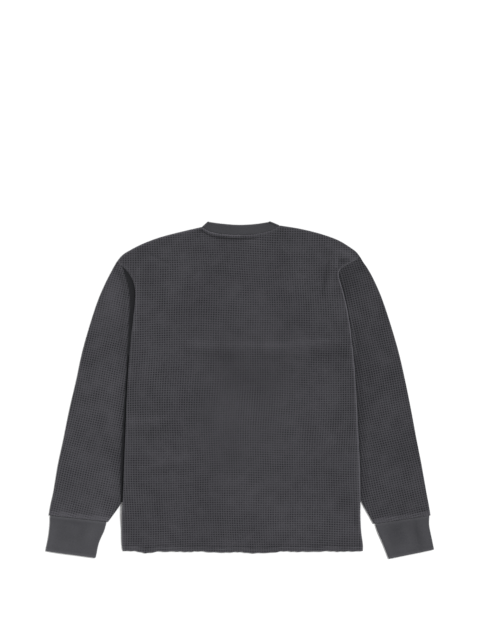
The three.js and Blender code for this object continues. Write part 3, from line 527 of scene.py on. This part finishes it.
# A sleeve's outer fold and underarm fold, from the armhole to the cuff: outer out and up,
# then underarm out and up
sleeve = dict(
    left=[(264.5, 275, 238, 75.8), (267.5, 270, 238.8, 69.5), (271, 264, 235.2, 63.5),
          (277, 252.5, 229.5, 43), (288, 231, 216, 21), (304, 194, 195, -5),
          (320.5, 144.5, 182, -40), (338, 83, 182, -76), (351.5, 20, 194, -112),
          (366, -42, 210, -146), (378.5, -104, 226, -181), (390.5, -160, 241, -214),
          (400, -216.5, 255, -243), (406.5, -246, 268.5, -263), (410.5, -269, 283.5, -283.5)],
    right=[(258.5, 285.5, 243.6, 75.8), (262, 279.5, 244.5, 69.5), (266.5, 272.5, 240.8, 63.5),
           (275, 260, 235.2, 43), (288, 236, 222, 21), (304.5, 198, 201, -5),
           (322.5, 144.5, 188, -40), (340.5, 83, 188, -76), (355, 20, 200, -112),
           (367.5, -42, 216.5, -146), (379, -104, 233.5, -181), (390, -160, 249.5, -214),
           (400, -216.5, 263, -243), (405.5, -246, 275.5, -266), (409.5, -269.5, 287.5, -287.5)],
    # shade paints the left sleeve lighter and the right sleeve darker, as the light falls on them
    shade=dict(left=0.05, right=-0.05), lean=12.5, drop=10, loft=2.6, cuffLoft=1.6, fill=70,
    beside=3, besideRamp=34, fullness=0.6,
    # the roll beside the body: by height, how high it stands, at a distance from the body's
    # edge and with a half width
    roll=dict(
        left=[(-262, 0), (-225, 1.4), (-100, 2.2), (0, 2.4), (60, 3.0), (110, 3.8), (150, 4.8),
              (200, 5.6), (240, 5.0), (262, 2.4), (276, 0)],
        right=[(-270, 0), (-225, 0.8), (-100, 1.0), (60, 1.2), (150, 1.0), (240, 0.8), (270, 0)],
        at=15, half=8,
    ),
    # the painted shade in the crevice beside the body's edge: its width by height, and how dark it is;
    # soft is a wider band of painted shade beyond it, how dark, how far out and its half width
    creviceShade=dict(
        left=[(-262, 0.5), (-245, 3.2), (60, 4), (107, 5.2), (150, 7.6), (193, 10.5), (236, 12),
              (250, 8.5), (260, 3), (268, 0.5), (280, 0.5)],
        right=[(-262, 0.5), (-245, 2), (60, 2.5), (160, 3), (240, 3), (270, 0.5), (280, 0.5)],
        deep=dict(left=0.9, right=0.25), soft=dict(left=0.12, right=0.03), softAt=9, softHalf=7,
    ),
    folds=dict(
        left=[(-372, -60, -300, -20, 12, 0.7), (-385, -150, -300, -190, 11, 0.6),
              (-396, -246, -300, -262, 7, 0.8)],
        right=[(250, 150, 300, 60, 12, 0.6), (300, -30, 366, -70, 12, 0.7),
               (310, -262, 396, -248, 7, 0.8)],
    ),
    # paler and darker places, painted light and shade with some wear: x, y, half width, half height, how
    # much
    paintedLightAndWear=dict(
        left=[(-253, 262, 12, 4, 0.10), (-300, 120, 22, 90, 0.02), (-330, -190, 60, 40, 0.03),
              (-340, -20, 70, 14, -0.03), (-300, 60, 50, 12, -0.02)],
        right=[(232, 234, 22, 34, -0.1), (256, 120, 14, 70, -0.05), (290, 200, 14, 60, 0.05),
               (340, -60, 60, 16, -0.03), (330, -200, 50, 30, 0.03), (262, 262, 8, 8, -0.04)],
    ),
    # two ridges beside the cuff, with stitches on each: high, how far from the end, half width; tones,
    # in the same form, are a painted highlight on them with some wear, and foldTone paints light on the
    # folds' ridges and shade in their troughs
    ridges=[(0.6, 3.2, 1.3), (0.5, 8, 1.3)], tones=[(0.35, 3.2, 1.5), (0.3, 8, 1.5)], foldTone=0.03,
    loftFrom=200, loftOver=150, endGap=0.3, foldSteps=8, turnOver=14,
    driftOver=30,
)


def sleeveFold(side, of):
    # a sleeve's fold in plan, as many points (out, up)
    rows = np.array([(n, *row) for n, row in enumerate(sleeve[side])], float)
    t = np.linspace(0, len(rows) - 1, 600)
    return np.stack([along(rows, t, of), along(rows, t, of + 1)], -1)


def sleevePiece(name, side):
    # One sheet folded along the outer fold: its columns run over the upper layer, round the
    # fold and back over the lower layer, on a straight grid that follows the arm. Each end
    # and edge is drawn to the sleeve's outline as on the body, and the two edges of the
    # underarm meet there in a seam.
    radius, thick, turnR = foldRadius, cloth["thick"], cloth["turn"]
    bodySide, sign = body["side"][side], -1 if side == "left" else 1
    lean = math.radians(sleeve["lean"])
    sin, cos = math.sin(lean), math.cos(lean)
    toGrid = lambda p: (-p[..., 0] * cos - p[..., 1] * sin, p[..., 0] * sin - p[..., 1] * cos)
    toPlan = lambda a, q: (-a * cos + q * sin, -a * sin - q * cos)
    outerA, outerQ = toGrid(sleeveFold(side, 1))
    underA, underQ = toGrid(sleeveFold(side, 3))
    seamUp = np.linspace(bodySide[-1][0], body["armpit"] - 0.2, 300)
    seam = np.stack([along(bodySide, seamUp) + cloth["gap"], seamUp], -1)
    seamA, seamQ = toGrid(seam)
    edgeA, edgeQ = np.concatenate([seamA, underA[1:]]), np.concatenate([seamQ, underQ[1:]])
    edgeQ = np.maximum.accumulate(edgeQ)
    outerAt = lambda q: np.interp(q, outerQ, outerA)
    edgeAt = lambda q: np.interp(q, edgeQ, edgeA)
    (cuffOutA, cuffInA), (cuffOutQ, cuffInQ) = (outerA[-1], underA[-1]), (outerQ[-1], underQ[-1])
    cuffAt = lambda a: mix(cuffOutQ, cuffInQ, (a - cuffOutA) / (cuffInA - cuffOutA))
    armpitQ = seamQ[-1]
    q0 = outerQ[0]
    rows = int(math.ceil((max(cuffOutQ, cuffInQ) - q0) / waffle["along"] / 4 + 1)) * 4
    qs = q0 + waffle["along"] * np.arange(rows + 1)
    a0 = outerA.min() - waffle["across"]
    columns = int(math.ceil((edgeA.max() - a0) / waffle["across"] / 4 + 0.5)) * 4
    offsets = a0 + waffle["across"] * np.arange(columns + 1)
    foldSteps, creviceShade, roll = sleeve["foldSteps"], sleeve["creviceShade"], sleeve["roll"]
    angles = math.pi * np.arange(1, foldSteps) / foldSteps
    # for each column: where it is across, and its angle round the fold, 0 on the upper layer
    colA = np.concatenate([offsets[::-1], np.full(foldSteps - 1, a0), offsets])
    colAngle = np.concatenate([np.zeros(columns + 1), angles, np.full(columns + 1, math.pi)])
    gq, ga = np.meshgrid(qs, colA, indexing="ij")

    def wander(a, q):
        # the knit's drift, which grows from nothing at the shoulder
        return [way * smooth((q - q0) / sleeve["driftOver"]) for way in drift(a, q)]

    wanderA, wanderQ = wander(np.clip(ga, outerAt(gq), edgeAt(gq)), np.minimum(gq, qs[-1] - 10))
    ga, gq = ga + wanderA, gq + wanderQ
    angle = np.broadcast_to(colAngle, gq.shape)
    onFold = (angle > 0.01) & (angle < math.pi - 0.01)
    upper = angle < 0.01
    seamTurn, full = math.radians(cloth["seamTurn"]), math.pi / 2
    edgeTurn = lambda q: mix(seamTurn, full, smooth((q - armpitQ) / sleeve["turnOver"]))

    def drawn(run, inside=0):
        lo0, hi0 = outerAt(gq), edgeAt(gq)
        width = np.maximum(hi0 - lo0, 0)
        r = np.minimum(radius, width / 2)
        lo = lo0 + r
        hi = np.maximum(hi0 - np.minimum(run(edgeTurn(gq)), width / 2), lo)
        pa = np.where(onFold, lo - (r - np.minimum(inside, r)) * np.sin(angle), np.clip(ga, lo, hi))
        end = cuffAt(pa) - run(seamTurn) - sleeve["endGap"]
        pq = np.minimum(gq, end)
        return pa, pq, ~onFold & (ga >= hi), gq >= end

    def heights(pa, pq):
        # the sleeve's underside, the air inside it and the folds on top
        out, y = toPlan(pa, pq)
        x = sign * out
        flatSeam = seam[::6]
        gapX, gapY = out[..., None] - flatSeam[:, 0], y[..., None] - flatSeam[:, 1]
        far = gapX**2 + gapY**2
        nearest = far.argmin(-1)
        away = np.sqrt(far.min(-1))
        seamX = sign * flatSeam[nearest, 0]
        low = lift(seamX, flatSeam[nearest, 1]) * (1 - smooth(away / sleeve["drop"]))
        off = out - along(bodySide, y)
        clear = smooth((off - sleeve["beside"]) / sleeve["besideRamp"])
        share = np.clip((pa - outerAt(pq)) / np.maximum(edgeAt(pq) - outerAt(pq), 1), 0, 1)
        towardsCuff = smooth((pq - sleeve["loftFrom"]) / sleeve["loftOver"])
        loft = mix(sleeve["loft"], sleeve["cuffLoft"], towardsCuff) * smooth(away / sleeve["fill"])
        puff = loft * clear * np.sin(math.pi * share) ** sleeve["fullness"]
        folds = foldHeight(sleeve["folds"][side], x, y) * clear
        folds = folds + bell(off, (along(roll[side], y), roll["at"], roll["half"]))
        toEnd = cuffAt(pa) - pq
        seams = sum(bell(toEnd, row) for row in sleeve["ridges"])
        return x, y, low, puff + folds, seams

    def place(pa, pq, inside, drop, depth):
        x, y, low, puff, seams = heights(pa, pq)
        topZ = low + layerTop + puff + seams * ~onFold - inside - drop - depth
        lowZ = low + inside + drop + depth
        foldZ = low + radius + (radius - inside) * np.cos(angle)
        z = np.where(onFold, foldZ, np.where(upper, topZ, lowZ))
        return np.stack([x, y, z], -1)

    def turned(pq, atEdge, atEnd, drop):
        edge = np.where(atEdge, drop(edgeTurn(pq)), 0)
        end = np.where(atEnd & ~onFold, drop(seamTurn), 0)
        return np.maximum(edge, end)

    def cells(pa, pq):
        wanderA, wanderQ = wander(pa, pq)
        return np.stack([(pa - wanderA - a0) / (2 * waffle["across"]),
                         (pq - wanderQ - q0) / (2 * waffle["along"])], -1)

    pa, pq, atEdge, atEnd = drawn(lambda turn: turnR * np.sin(turn))
    uv = cells(pa, pq)
    nearest = np.minimum(edgeAt(pq) - pa, np.minimum(pa - outerAt(pq), cuffAt(pa) - pq))
    toEnd = cuffAt(pa) - pq
    fade = smooth((nearest - 2.4) / waffle["fade"]) * smooth((toEnd - body["hemPlain"]) / 4)
    relief = pitDepth(uv[..., 0], uv[..., 1]) * fade * ~onFold * worked(pa, pq)
    # a painted highlight, with some wear, on the ridges beside the cuff
    tone = sum(bell(toEnd, row) for row in sleeve["tones"])
    out, y = toPlan(pa, pq)
    off = np.maximum(out - along(bodySide, y), 0)
    # painted shade in the crevice beside the body's edge, and a softer band of it further out
    beside = off / along(creviceShade[side], y)
    x = sign * out
    # painted light and shade: the sleeve's side, its folds and its patches
    tone = tone + sleeve["shade"][side] + sleeve["foldTone"] * foldHeight(sleeve["folds"][side], x, y)
    tone = tone + roundPatches(sleeve["paintedLightAndWear"][side], x, y) - creviceShade["deep"][side] * np.exp(-beside**4)
    tone = tone - bell(off, (creviceShade["soft"][side], creviceShade["softAt"], creviceShade["softHalf"]))
    index = np.arange(pa.size).reshape(pa.shape)
    rim = border(index)
    shell = dict(points=[], uv=[], tone=[], faces=[quads(index)])
    addPoints(shell, place(pa, pq, 0, 0, relief), uv, tone)

    def layer(run, drop, inside=0):
        qa, qq, *_ = drawn(run, inside)
        return place(qa, qq, inside, turned(pq, atEdge, atEnd, drop), 0), cells(qa, qq)

    ring = turnDown(shell, rim, layer, tone)
    # the inside's last ring, then its plain face, a cloth's thickness from the outside
    lip, lipUv = layer(lambda turn: thick * np.sin(turn),
                       lambda turn: (turnR - thick) * (1 - np.cos(turn)), thick)
    lipRing = addPoints(shell, lip, lipUv, 0, rim)
    shell["faces"].append(ribbon(ring, lipRing))
    inner, innerUv = layer(lambda turn: turnR * np.sin(turn), lambda turn: 0 * turn, thick)
    innerIndex = addPoints(shell, inner, innerUv, 0)[index]
    shell["faces"] += [ribbon(lipRing, border(innerIndex)), quads(innerIndex)[:, ::-1]]
    for _, off, _ in sleeve["ridges"]:
        # a row of stitches on each ridge
        sewnA = np.linspace(cuffOutA + 4, cuffInA - 4, 300)
        x, y, low, puff, seams = heights(sewnA, cuffAt(sewnA) - off)
        addStitches(np.stack([x, y, low + layerTop + puff + seams], -1), shell, side == "right")
    return makePiece(name, shell, True, side == "right")


# A cuff's sections from its seam to its open end: outer fold out and up, inner fold out and up
cuff = dict(
    left=[(408, -269.7, 286.5, -283.6), (408.5, -290, 292, -303), (411.5, -315.5, 303, -328.5),
          (417.5, -345.5, 310, -360.5)],
    right=[(407, -270.3, 290.5, -287.5), (406.5, -290, 296.5, -305.5), (411.5, -316, 308.5, -333),
           (417, -342.5, 320, -362.5)],
    # groove is painted shade in the grooves between ribs; seamTone and rimTone are painted highlights on
    # the seam and on the rolled rim: how much, where and over what
    loft=1.1, pitch=1.9, rib=0.36, wave=0.5, groove=0.2,
    length=75, width=123, steps=18, seamTone=(0.25, 0, 0.1), rimTone=(0.35, 2.85, 0.15), cells=8,
    # paler and darker places, painted light and shade with some wear: share across from the outer fold,
    # rows from the seam, half sizes, how much
    paintedLightAndWear=dict(
        left=[(0.06, 2.0, 0.1, 1.2, 0.14), (0.45, 0.4, 0.3, 0.3, -0.12), (0.8, 1.5, 0.1, 0.9, 0.08),
              (0.4, 2.5, 0.25, 0.4, 0.1), (0.62, 1.2, 0.08, 0.6, -0.07), (0.25, 1.1, 0.1, 0.5, -0.05)],
        right=[(0.5, 1.4, 1.2, 2.0, -0.09), (0.92, 1.8, 0.08, 1.3, 0.16), (0.64, 1.0, 0.1, 0.9, -0.1),
               (0.26, 1.5, 0.06, 1.3, -0.12), (0.08, 1.6, 0.08, 1.2, 0.12), (0.6, 2.5, 0.2, 0.3, 0.1),
               (0.45, 1.6, 0.06, 0.8, 0.06)],
    ),
)


def roundTube(n, m, foldSteps=6):
    # the places round a flattened tube, over the upper layer, round the outer fold, back under
    # the lower layer and round the other fold. Each has its share across, its angle, the fold
    # that it is on, or 0, and its number in the ribs.
    bend, up, down = np.arange(1, foldSteps) / foldSteps, np.arange(n + 1.0), np.arange(m + 1.0)
    spans = [(np.linspace(1, 0, n + 1), 0 * up, 0 * up, up),
             (0 * bend, math.pi * bend, 0 * bend + 1, 0 * bend),
             (np.linspace(0, 1, m + 1), 0 * down + math.pi, 0 * down, down),
             (0 * bend + 1, math.pi * (1 - bend), 0 * bend + 2, 0 * bend)]
    return [np.concatenate(column) for column in zip(*spans)]


def tubeWall(name, grid, uv, tone, flip):
    # a wall whose section is a closed loop of rows and whose columns run round a tube
    rows, ring = grid.shape[:2]
    index = np.arange(rows * ring).reshape(rows, ring)
    index = np.concatenate([index, index[:1]])
    index = np.concatenate([index, index[:, :1]], 1)
    shell = dict(points=[], uv=[], tone=[], faces=[quads(index)])
    addPoints(shell, grid, uv, tone)
    return makePiece(name, shell, False, flip)


def wallRows(length, steps, thick):
    # how a rib's wall is carried round its tube: rows of how far along it is, from the seam to
    # the free edge, and how deep in the cloth, from 0 outside to 1 inside
    lip = thick / 2 / length
    bend = np.linspace(0, math.pi, 9)
    outward = [(s, 0) for s in np.linspace(2.2 / length, 1 - lip, steps)]
    rolled = [(1 - lip + lip * math.sin(b), (1 - math.cos(b)) / 2) for b in bend[1:-1]]
    inward = [(1 - lip, 1), (0.5, 1), (0.8 / length, 1)]
    seamEdge = [(0.0, 0.62), (0.2 / length, 0.36), (0.9 / length, 0.12)]
    return np.array(outward + rolled + inward + seamEdge)


def ribWave(count, deep, end):
    # the groove between two ribs: a cosine's wave, four points long, on the outside
    return (1 - np.cos(2 * math.pi * count / 4)) / 2 * cuff["rib"] * (deep < 0.3) * (end == 0)


def tubeHeight(angle, end, inside, wave, puff):
    # a rib's upper layer, its lower layer and the half circles round the folds between them
    flat = np.where(angle < 1, ribTop + puff - inside - wave, inside + wave)
    return np.where(end > 0, ribTop / 2 + (ribTop / 2 - inside) * np.cos(angle), flat)


def cuffPiece(name, side):
    # Sections between the cuff's four rows, from its seam to its open end. Round each, ribs
    # are a cosine's wave on the outside, and the air inside is a low sine's half wave.
    sections = cuff[side]
    rows = np.array([(n, *row) for n, row in enumerate(sections)], float)
    thick, radius = cloth["ribThick"], ribTop / 2
    ribs = int(round(cuff["width"] / cuff["pitch"]))
    across, angle, end, count = roundTube(4 * ribs, 4 * ribs)
    profile = wallRows(cuff["length"], cuff["steps"], thick)
    last = len(sections) - 1
    t, deep = np.repeat(profile[:, :1] * last, len(across), 1), profile[:, 1:2]
    ox, oy, ix, iy = (along(rows, t, c) for c in (1, 2, 3, 4))
    width = np.hypot(ox - ix, oy - iy)
    inside = deep * thick
    r = radius - inside
    share = mix(radius / width, 1 - radius / width, across)
    bend = (radius - r * np.sin(angle)) / width
    share = np.where(end == 1, bend, np.where(end == 2, 1 - bend, share))
    out, y = mix(ox, ix, share), mix(oy, iy, share)
    x = out if side == "right" else -out
    puff = cuff["loft"] * np.sin(math.pi * np.clip(share, 0, 1)) ** sleeve["fullness"]
    puff = puff * smooth((t + 0.4) / 0.8)
    middle = np.sin(math.pi * np.clip(share, 0, 1))
    puff = puff + cuff["wave"] * np.sin(7 * share + 2.1 * t) * middle * (t / last)
    wave = ribWave(count, deep, end)
    z = tubeHeight(angle, end, inside, wave, puff)
    uv = np.stack([np.broadcast_to(across * ribs, t.shape), t * cuff["cells"]], -1)
    rimTone, rimFrom, rimOver = cuff["rimTone"]
    # a painted highlight on the seam and on the rolled rim, then painted light and shade with some wear
    # in patches, and painted shade in the grooves between ribs
    tone = bell(t, cuff["seamTone"]) + rimTone * smooth((t - rimFrom) / rimOver)
    tone = tone + roundPatches(cuff["paintedLightAndWear"][side], share, t) - cuff["groove"] * wave / cuff["rib"]
    return tubeWall(name, np.stack([x, y, z], -1), uv, tone, side == "right")


def neckPiece(name):
    # The rib runs from its seam to its rim: over the back neck above and round the front
    # neck below, and turns from one to the other round a fold at each shoulder.
    thick, radius, length = cloth["ribThick"], ribTop / 2, neck["width"]
    half = lambda share: (1 - np.cos(math.pi * share)) / 2
    ribs = neck["ribs"]
    across, angle, end, count = roundTube(4 * ribs, 4 * int(ribs * neck["frontShare"]))
    profile = wallRows(length, neck["steps"], thick)
    v, inside = profile[:, :1], profile[:, 1:2] * thick

    def inLayer(v, share, seamY, rimY, margin):
        within = lambda ends: mix(ends[0][0] + margin, ends[1][0] - margin, half(share))
        sx = within(neckEnds)
        lean = slope(seamY, sx)
        off = neck["gap"] / np.hypot(1, lean)
        sx, sy = sx - off * lean, seamY(sx) + off
        rx = within(rimEnds)
        return mix(sx, rx, v), mix(sy, rimY(rx), v)

    share = np.where(end > 0, end - 1, across)
    bx, by = inLayer(v, share, backSeamY, backRimY, radius + neck["backCorner"])
    fx, fy = inLayer(v, share, frontSeamY, frontRimY, neck["frontCorner"])
    lean = (1 - np.cos(angle)) / 2
    outward = []
    for n, sign in ((0, 1), (1, -1)):
        dx, dy = np.subtract(rimEnds[n], neckEnds[n])
        size = math.hypot(dx, dy)
        outward.append((-dy * sign / size, dx * sign / size))
    reach = (radius - inside) * np.sin(angle) * (end > 0)
    ux = np.where(end == 1, outward[0][0], outward[1][0])
    uy = np.where(end == 1, outward[0][1], outward[1][1])
    x = mix(bx, fx, lean) + ux * reach
    y = mix(by, fy, lean) + uy * reach
    wave = ribWave(count, profile[:, 1:2], end)
    z = tubeHeight(angle, end, inside, wave, 0)
    t = np.broadcast_to(v, x.shape)
    uv = np.stack([np.broadcast_to(across * ribs, x.shape), t * neck["cells"]], -1)
    rimTone, rimFrom, rimOver = neck["rimTone"]
    # a painted highlight on the rolled rim, the rib's own darker tone, and painted shade in the grooves
    # between ribs
    tone = rimTone * smooth((t - rimFrom) / rimOver) + neck["tone"] - cuff["groove"] * wave / cuff["rib"]
    return tubeWall(name, np.stack([x, y, z], -1), uv, tone, True)


def nodeGroup(name, inputs, outputs):
    # an empty shader group with named sockets, and its two ends
    group = bpy.data.node_groups.new(name, "ShaderNodeTree")
    for label, kind, value in inputs:
        socket = group.interface.new_socket(label, in_out="INPUT", socket_type=kind)
        if value is not None:
            socket.default_value = value
    for label, kind in outputs:
        group.interface.new_socket(label, in_out="OUTPUT", socket_type=kind)
    return group, group.nodes.new("NodeGroupInput"), group.nodes.new("NodeGroupOutput")


def mathNode(tree, operation, a, b=None, c=None):
    # one sum or function of numbers and sockets
    node = tree.nodes.new("ShaderNodeMath")
    node.operation = operation
    for socket, value in zip(node.inputs, (a, b, c)):
        if value is None:
            continue
        if isinstance(value, (int, float)):
            socket.default_value = value
        else:
            tree.links.new(value, socket)
    return node.outputs[0]


# How the dye varies: clouds and flecks as scale, detail, share and offset, and how unevenly the painted
# shade in the pits falls, as scale, detail, share and offset too
dye = dict(clouds=(9, 3, 0.3, 0.35), flecks=(420, 2, 0.35, -0.175), patches=(38, 2, 1.6, 0.2))
yarn = dict(loopsAcross=12, loopsAlong=10, pitPower=0.8, bump=0.5)  # loops in a cell
finish = {"Roughness": 0.95, "Specular IOR Level": 0.12, "Sheen Weight": 0.12,
          "Sheen Roughness": 0.6, "Sheen Tint": (0.75, 0.77, 0.82, 1)}


def waffleCells():
    # from the cells' own coordinates: how deep in a pit a point is, the product of two squared
    # sines raised to a power, and the yarn's height, the product of two quick sines
    group, given, result = nodeGroup(
        "waffleCells", [("Cells", "NodeSocketVector", None)],
        [("Pit", "NodeSocketFloat"), ("Yarn", "NodeSocketFloat")])
    split = group.nodes.new("ShaderNodeSeparateXYZ")
    group.links.new(given.outputs["Cells"], split.inputs[0])
    squares, loops = [], []
    for axis, number in ((0, yarn["loopsAcross"]), (1, yarn["loopsAlong"])):
        wave = mathNode(group, "SINE", mathNode(group, "MULTIPLY", split.outputs[axis], math.pi))
        squares.append(mathNode(group, "MULTIPLY", wave, wave))
        quick = mathNode(group, "MULTIPLY", split.outputs[axis], number * math.pi)
        loops.append(mathNode(group, "SINE", quick))
    pit = mathNode(group, "POWER", mathNode(group, "MULTIPLY", *squares), yarn["pitPower"])
    group.links.new(pit, result.inputs["Pit"])
    group.links.new(mathNode(group, "MULTIPLY", *loops), result.inputs["Yarn"])
    return group


def washedDye():
    # how a worn charcoal dye varies: Shade is soft clouds and fine flecks, added to the tone, which
    # carries painted light and shade, and PitShadeScale says how strongly the painted shade darkens a
    # pit
    group, given, result = nodeGroup(
        "washedDye", [("Tone", "NodeSocketFloat", 0.0)],
        [("Shade", "NodeSocketFloat"), ("PitShadeScale", "NodeSocketFloat")])
    place = group.nodes.new("ShaderNodeTexCoord")

    def noise(key):
        scale, detail, share, offset = dye[key]
        texture = group.nodes.new("ShaderNodeTexNoise")
        texture.inputs["Scale"].default_value = scale
        texture.inputs["Detail"].default_value = detail
        group.links.new(place.outputs["Object"], texture.inputs["Vector"])
        return mathNode(group, "MULTIPLY_ADD", texture.outputs["Fac"], share, offset)

    varied = mathNode(group, "ADD", noise("clouds"), noise("flecks"))
    group.links.new(mathNode(group, "ADD", varied, given.outputs["Tone"]), result.inputs["Shade"])
    group.links.new(noise("patches"), result.inputs["PitShadeScale"])
    return group


def clothMaterial(name, pitPaintedShade, yarnHeight, dark, light):
    # the colour runs from dark to light with the dye's shade and the tone, less a painted shade in the
    # pits, the pit's depth times its share, and the yarn's height is bump
    material = bpy.data.materials.new(name)
    material.use_nodes = True
    tree = material.node_tree
    node = lambda kind: tree.nodes.new("ShaderNode" + kind)
    link = tree.links.new
    shader = tree.nodes["Principled BSDF"]
    for label, value in finish.items():
        shader.inputs[label].default_value = value
    uv = node("UVMap")
    uv.uv_map = "cells"
    tone = node("Attribute")
    tone.attribute_name = "tone"
    cells = node("Group")
    cells.node_tree = cellsGroup
    washed = node("Group")
    washed.node_tree = dyeGroup
    link(uv.outputs["UV"], cells.inputs["Cells"])
    link(tone.outputs["Fac"], washed.inputs["Tone"])
    blend = node("Mix")
    blend.data_type = "RGBA"
    blend.inputs["A"].default_value = dark
    blend.inputs["B"].default_value = light
    # painted shade in the pits, standing in for their shadow
    pitShadow = mathNode(tree, "MULTIPLY", cells.outputs["Pit"], -pitPaintedShade)
    pitShadow = mathNode(tree, "MULTIPLY", pitShadow, washed.outputs["PitShadeScale"])
    link(mathNode(tree, "ADD", washed.outputs["Shade"], pitShadow), blend.inputs["Factor"])
    link(blend.outputs["Result"], shader.inputs["Base Color"])
    bump = node("Bump")
    bump.inputs["Strength"].default_value = yarn["bump"]
    bump.inputs["Distance"].default_value = yarnHeight * mm
    link(cells.outputs["Yarn"], bump.inputs["Height"])
    link(bump.outputs["Normal"], shader.inputs["Normal"])
    return material


cellsGroup, dyeGroup = waffleCells(), washedDye()
slots = dict(
    waffle_knit=clothMaterial("waffle knit", pitPaintedShade=0.52, yarnHeight=0.25,
                              dark=(0.009, 0.009, 0.0105, 1), light=(0.1015, 0.0982, 0.1105, 1)),
    rib_knit=clothMaterial("rib knit", pitPaintedShade=0.0, yarnHeight=0.12,
                           dark=(0.024, 0.024, 0.027, 1), light=(0.097, 0.096, 0.105, 1)),
)
print("materials made")


def keep(piece, node, slotName):
    # gives a piece its finish, fixes it to the root and hides the part of the frame that it stands for
    piece.data.materials.append(slots[slotName])
    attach(piece, "root")
    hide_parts(node)


keep(bodyPanel("frontCloth", -1, lambda x: panelTop(x, frontSeamY), []), "front_panel",
     "waffle_knit")
keep(bodyPanel("backCloth", 1, lambda x: panelTop(x, backSeamY), body["folds"]), "back_panel",
     "waffle_knit")
for side in ("left", "right"):
    label = side.capitalize()
    keep(sleevePiece("sleeve" + label, side), "sleeve_" + side, "waffle_knit")
    keep(cuffPiece("cuff" + label, side), "cuff_" + side, "rib_knit")
keep(neckPiece("neckRib"), "neck_rib", "rib_knit")
print("pieces made")

# The floor, the light and the camera. The photograph is taken straight down, and 640 rows of it
# show 1.376 m.
stage = dict(size=6, height=-0.0004, albedo=0.9, world=0.5, sun=2.9, sunFrom=(0.6, 0.42, 1),
             sunAngle=14, lens=85, sensor=36, camera=(0, 0.1505, 3.249))
floorMesh = bpy.data.meshes.new("floor")
s, h = stage["size"], stage["height"]
floorMesh.from_pydata([(-s, -s, h), (s, -s, h), (s, s, h), (-s, s, h)], [], [(0, 1, 2, 3)])
floor = addObject("floor", floorMesh)
pale = bpy.data.materials.new("pale floor")
pale.use_nodes = True
paleShader = pale.node_tree.nodes["Principled BSDF"]
paleShader.inputs["Base Color"].default_value = (stage["albedo"],) * 3 + (1,)
paleShader.inputs["Roughness"].default_value = 1
paleShader.inputs["Specular IOR Level"].default_value = 0
floorMesh.materials.append(pale)

world = bpy.data.worlds.new("studio")
world.use_nodes = True
background = world.node_tree.nodes["Background"]
background.inputs["Color"].default_value = (1, 1, 1, 1)
background.inputs["Strength"].default_value = stage["world"]
bpy.context.scene.world = world
lampData = bpy.data.lights.new("soft lamp", "SUN")
lampData.energy = stage["sun"]
lampData.angle = math.radians(stage["sunAngle"])
lamp = addObject("soft lamp", lampData)
lamp.rotation_euler = (-mathutils.Vector(stage["sunFrom"])).to_track_quat("-Z", "Y").to_euler()

cameraData = bpy.data.cameras.new("camera")
cameraData.lens, cameraData.sensor_width = stage["lens"], stage["sensor"]
camera = addObject("camera", cameraData)
camera.location = stage["camera"]
bpy.context.scene.camera = camera
bpy.context.scene.view_settings.view_transform = "Standard"
print("stage set")
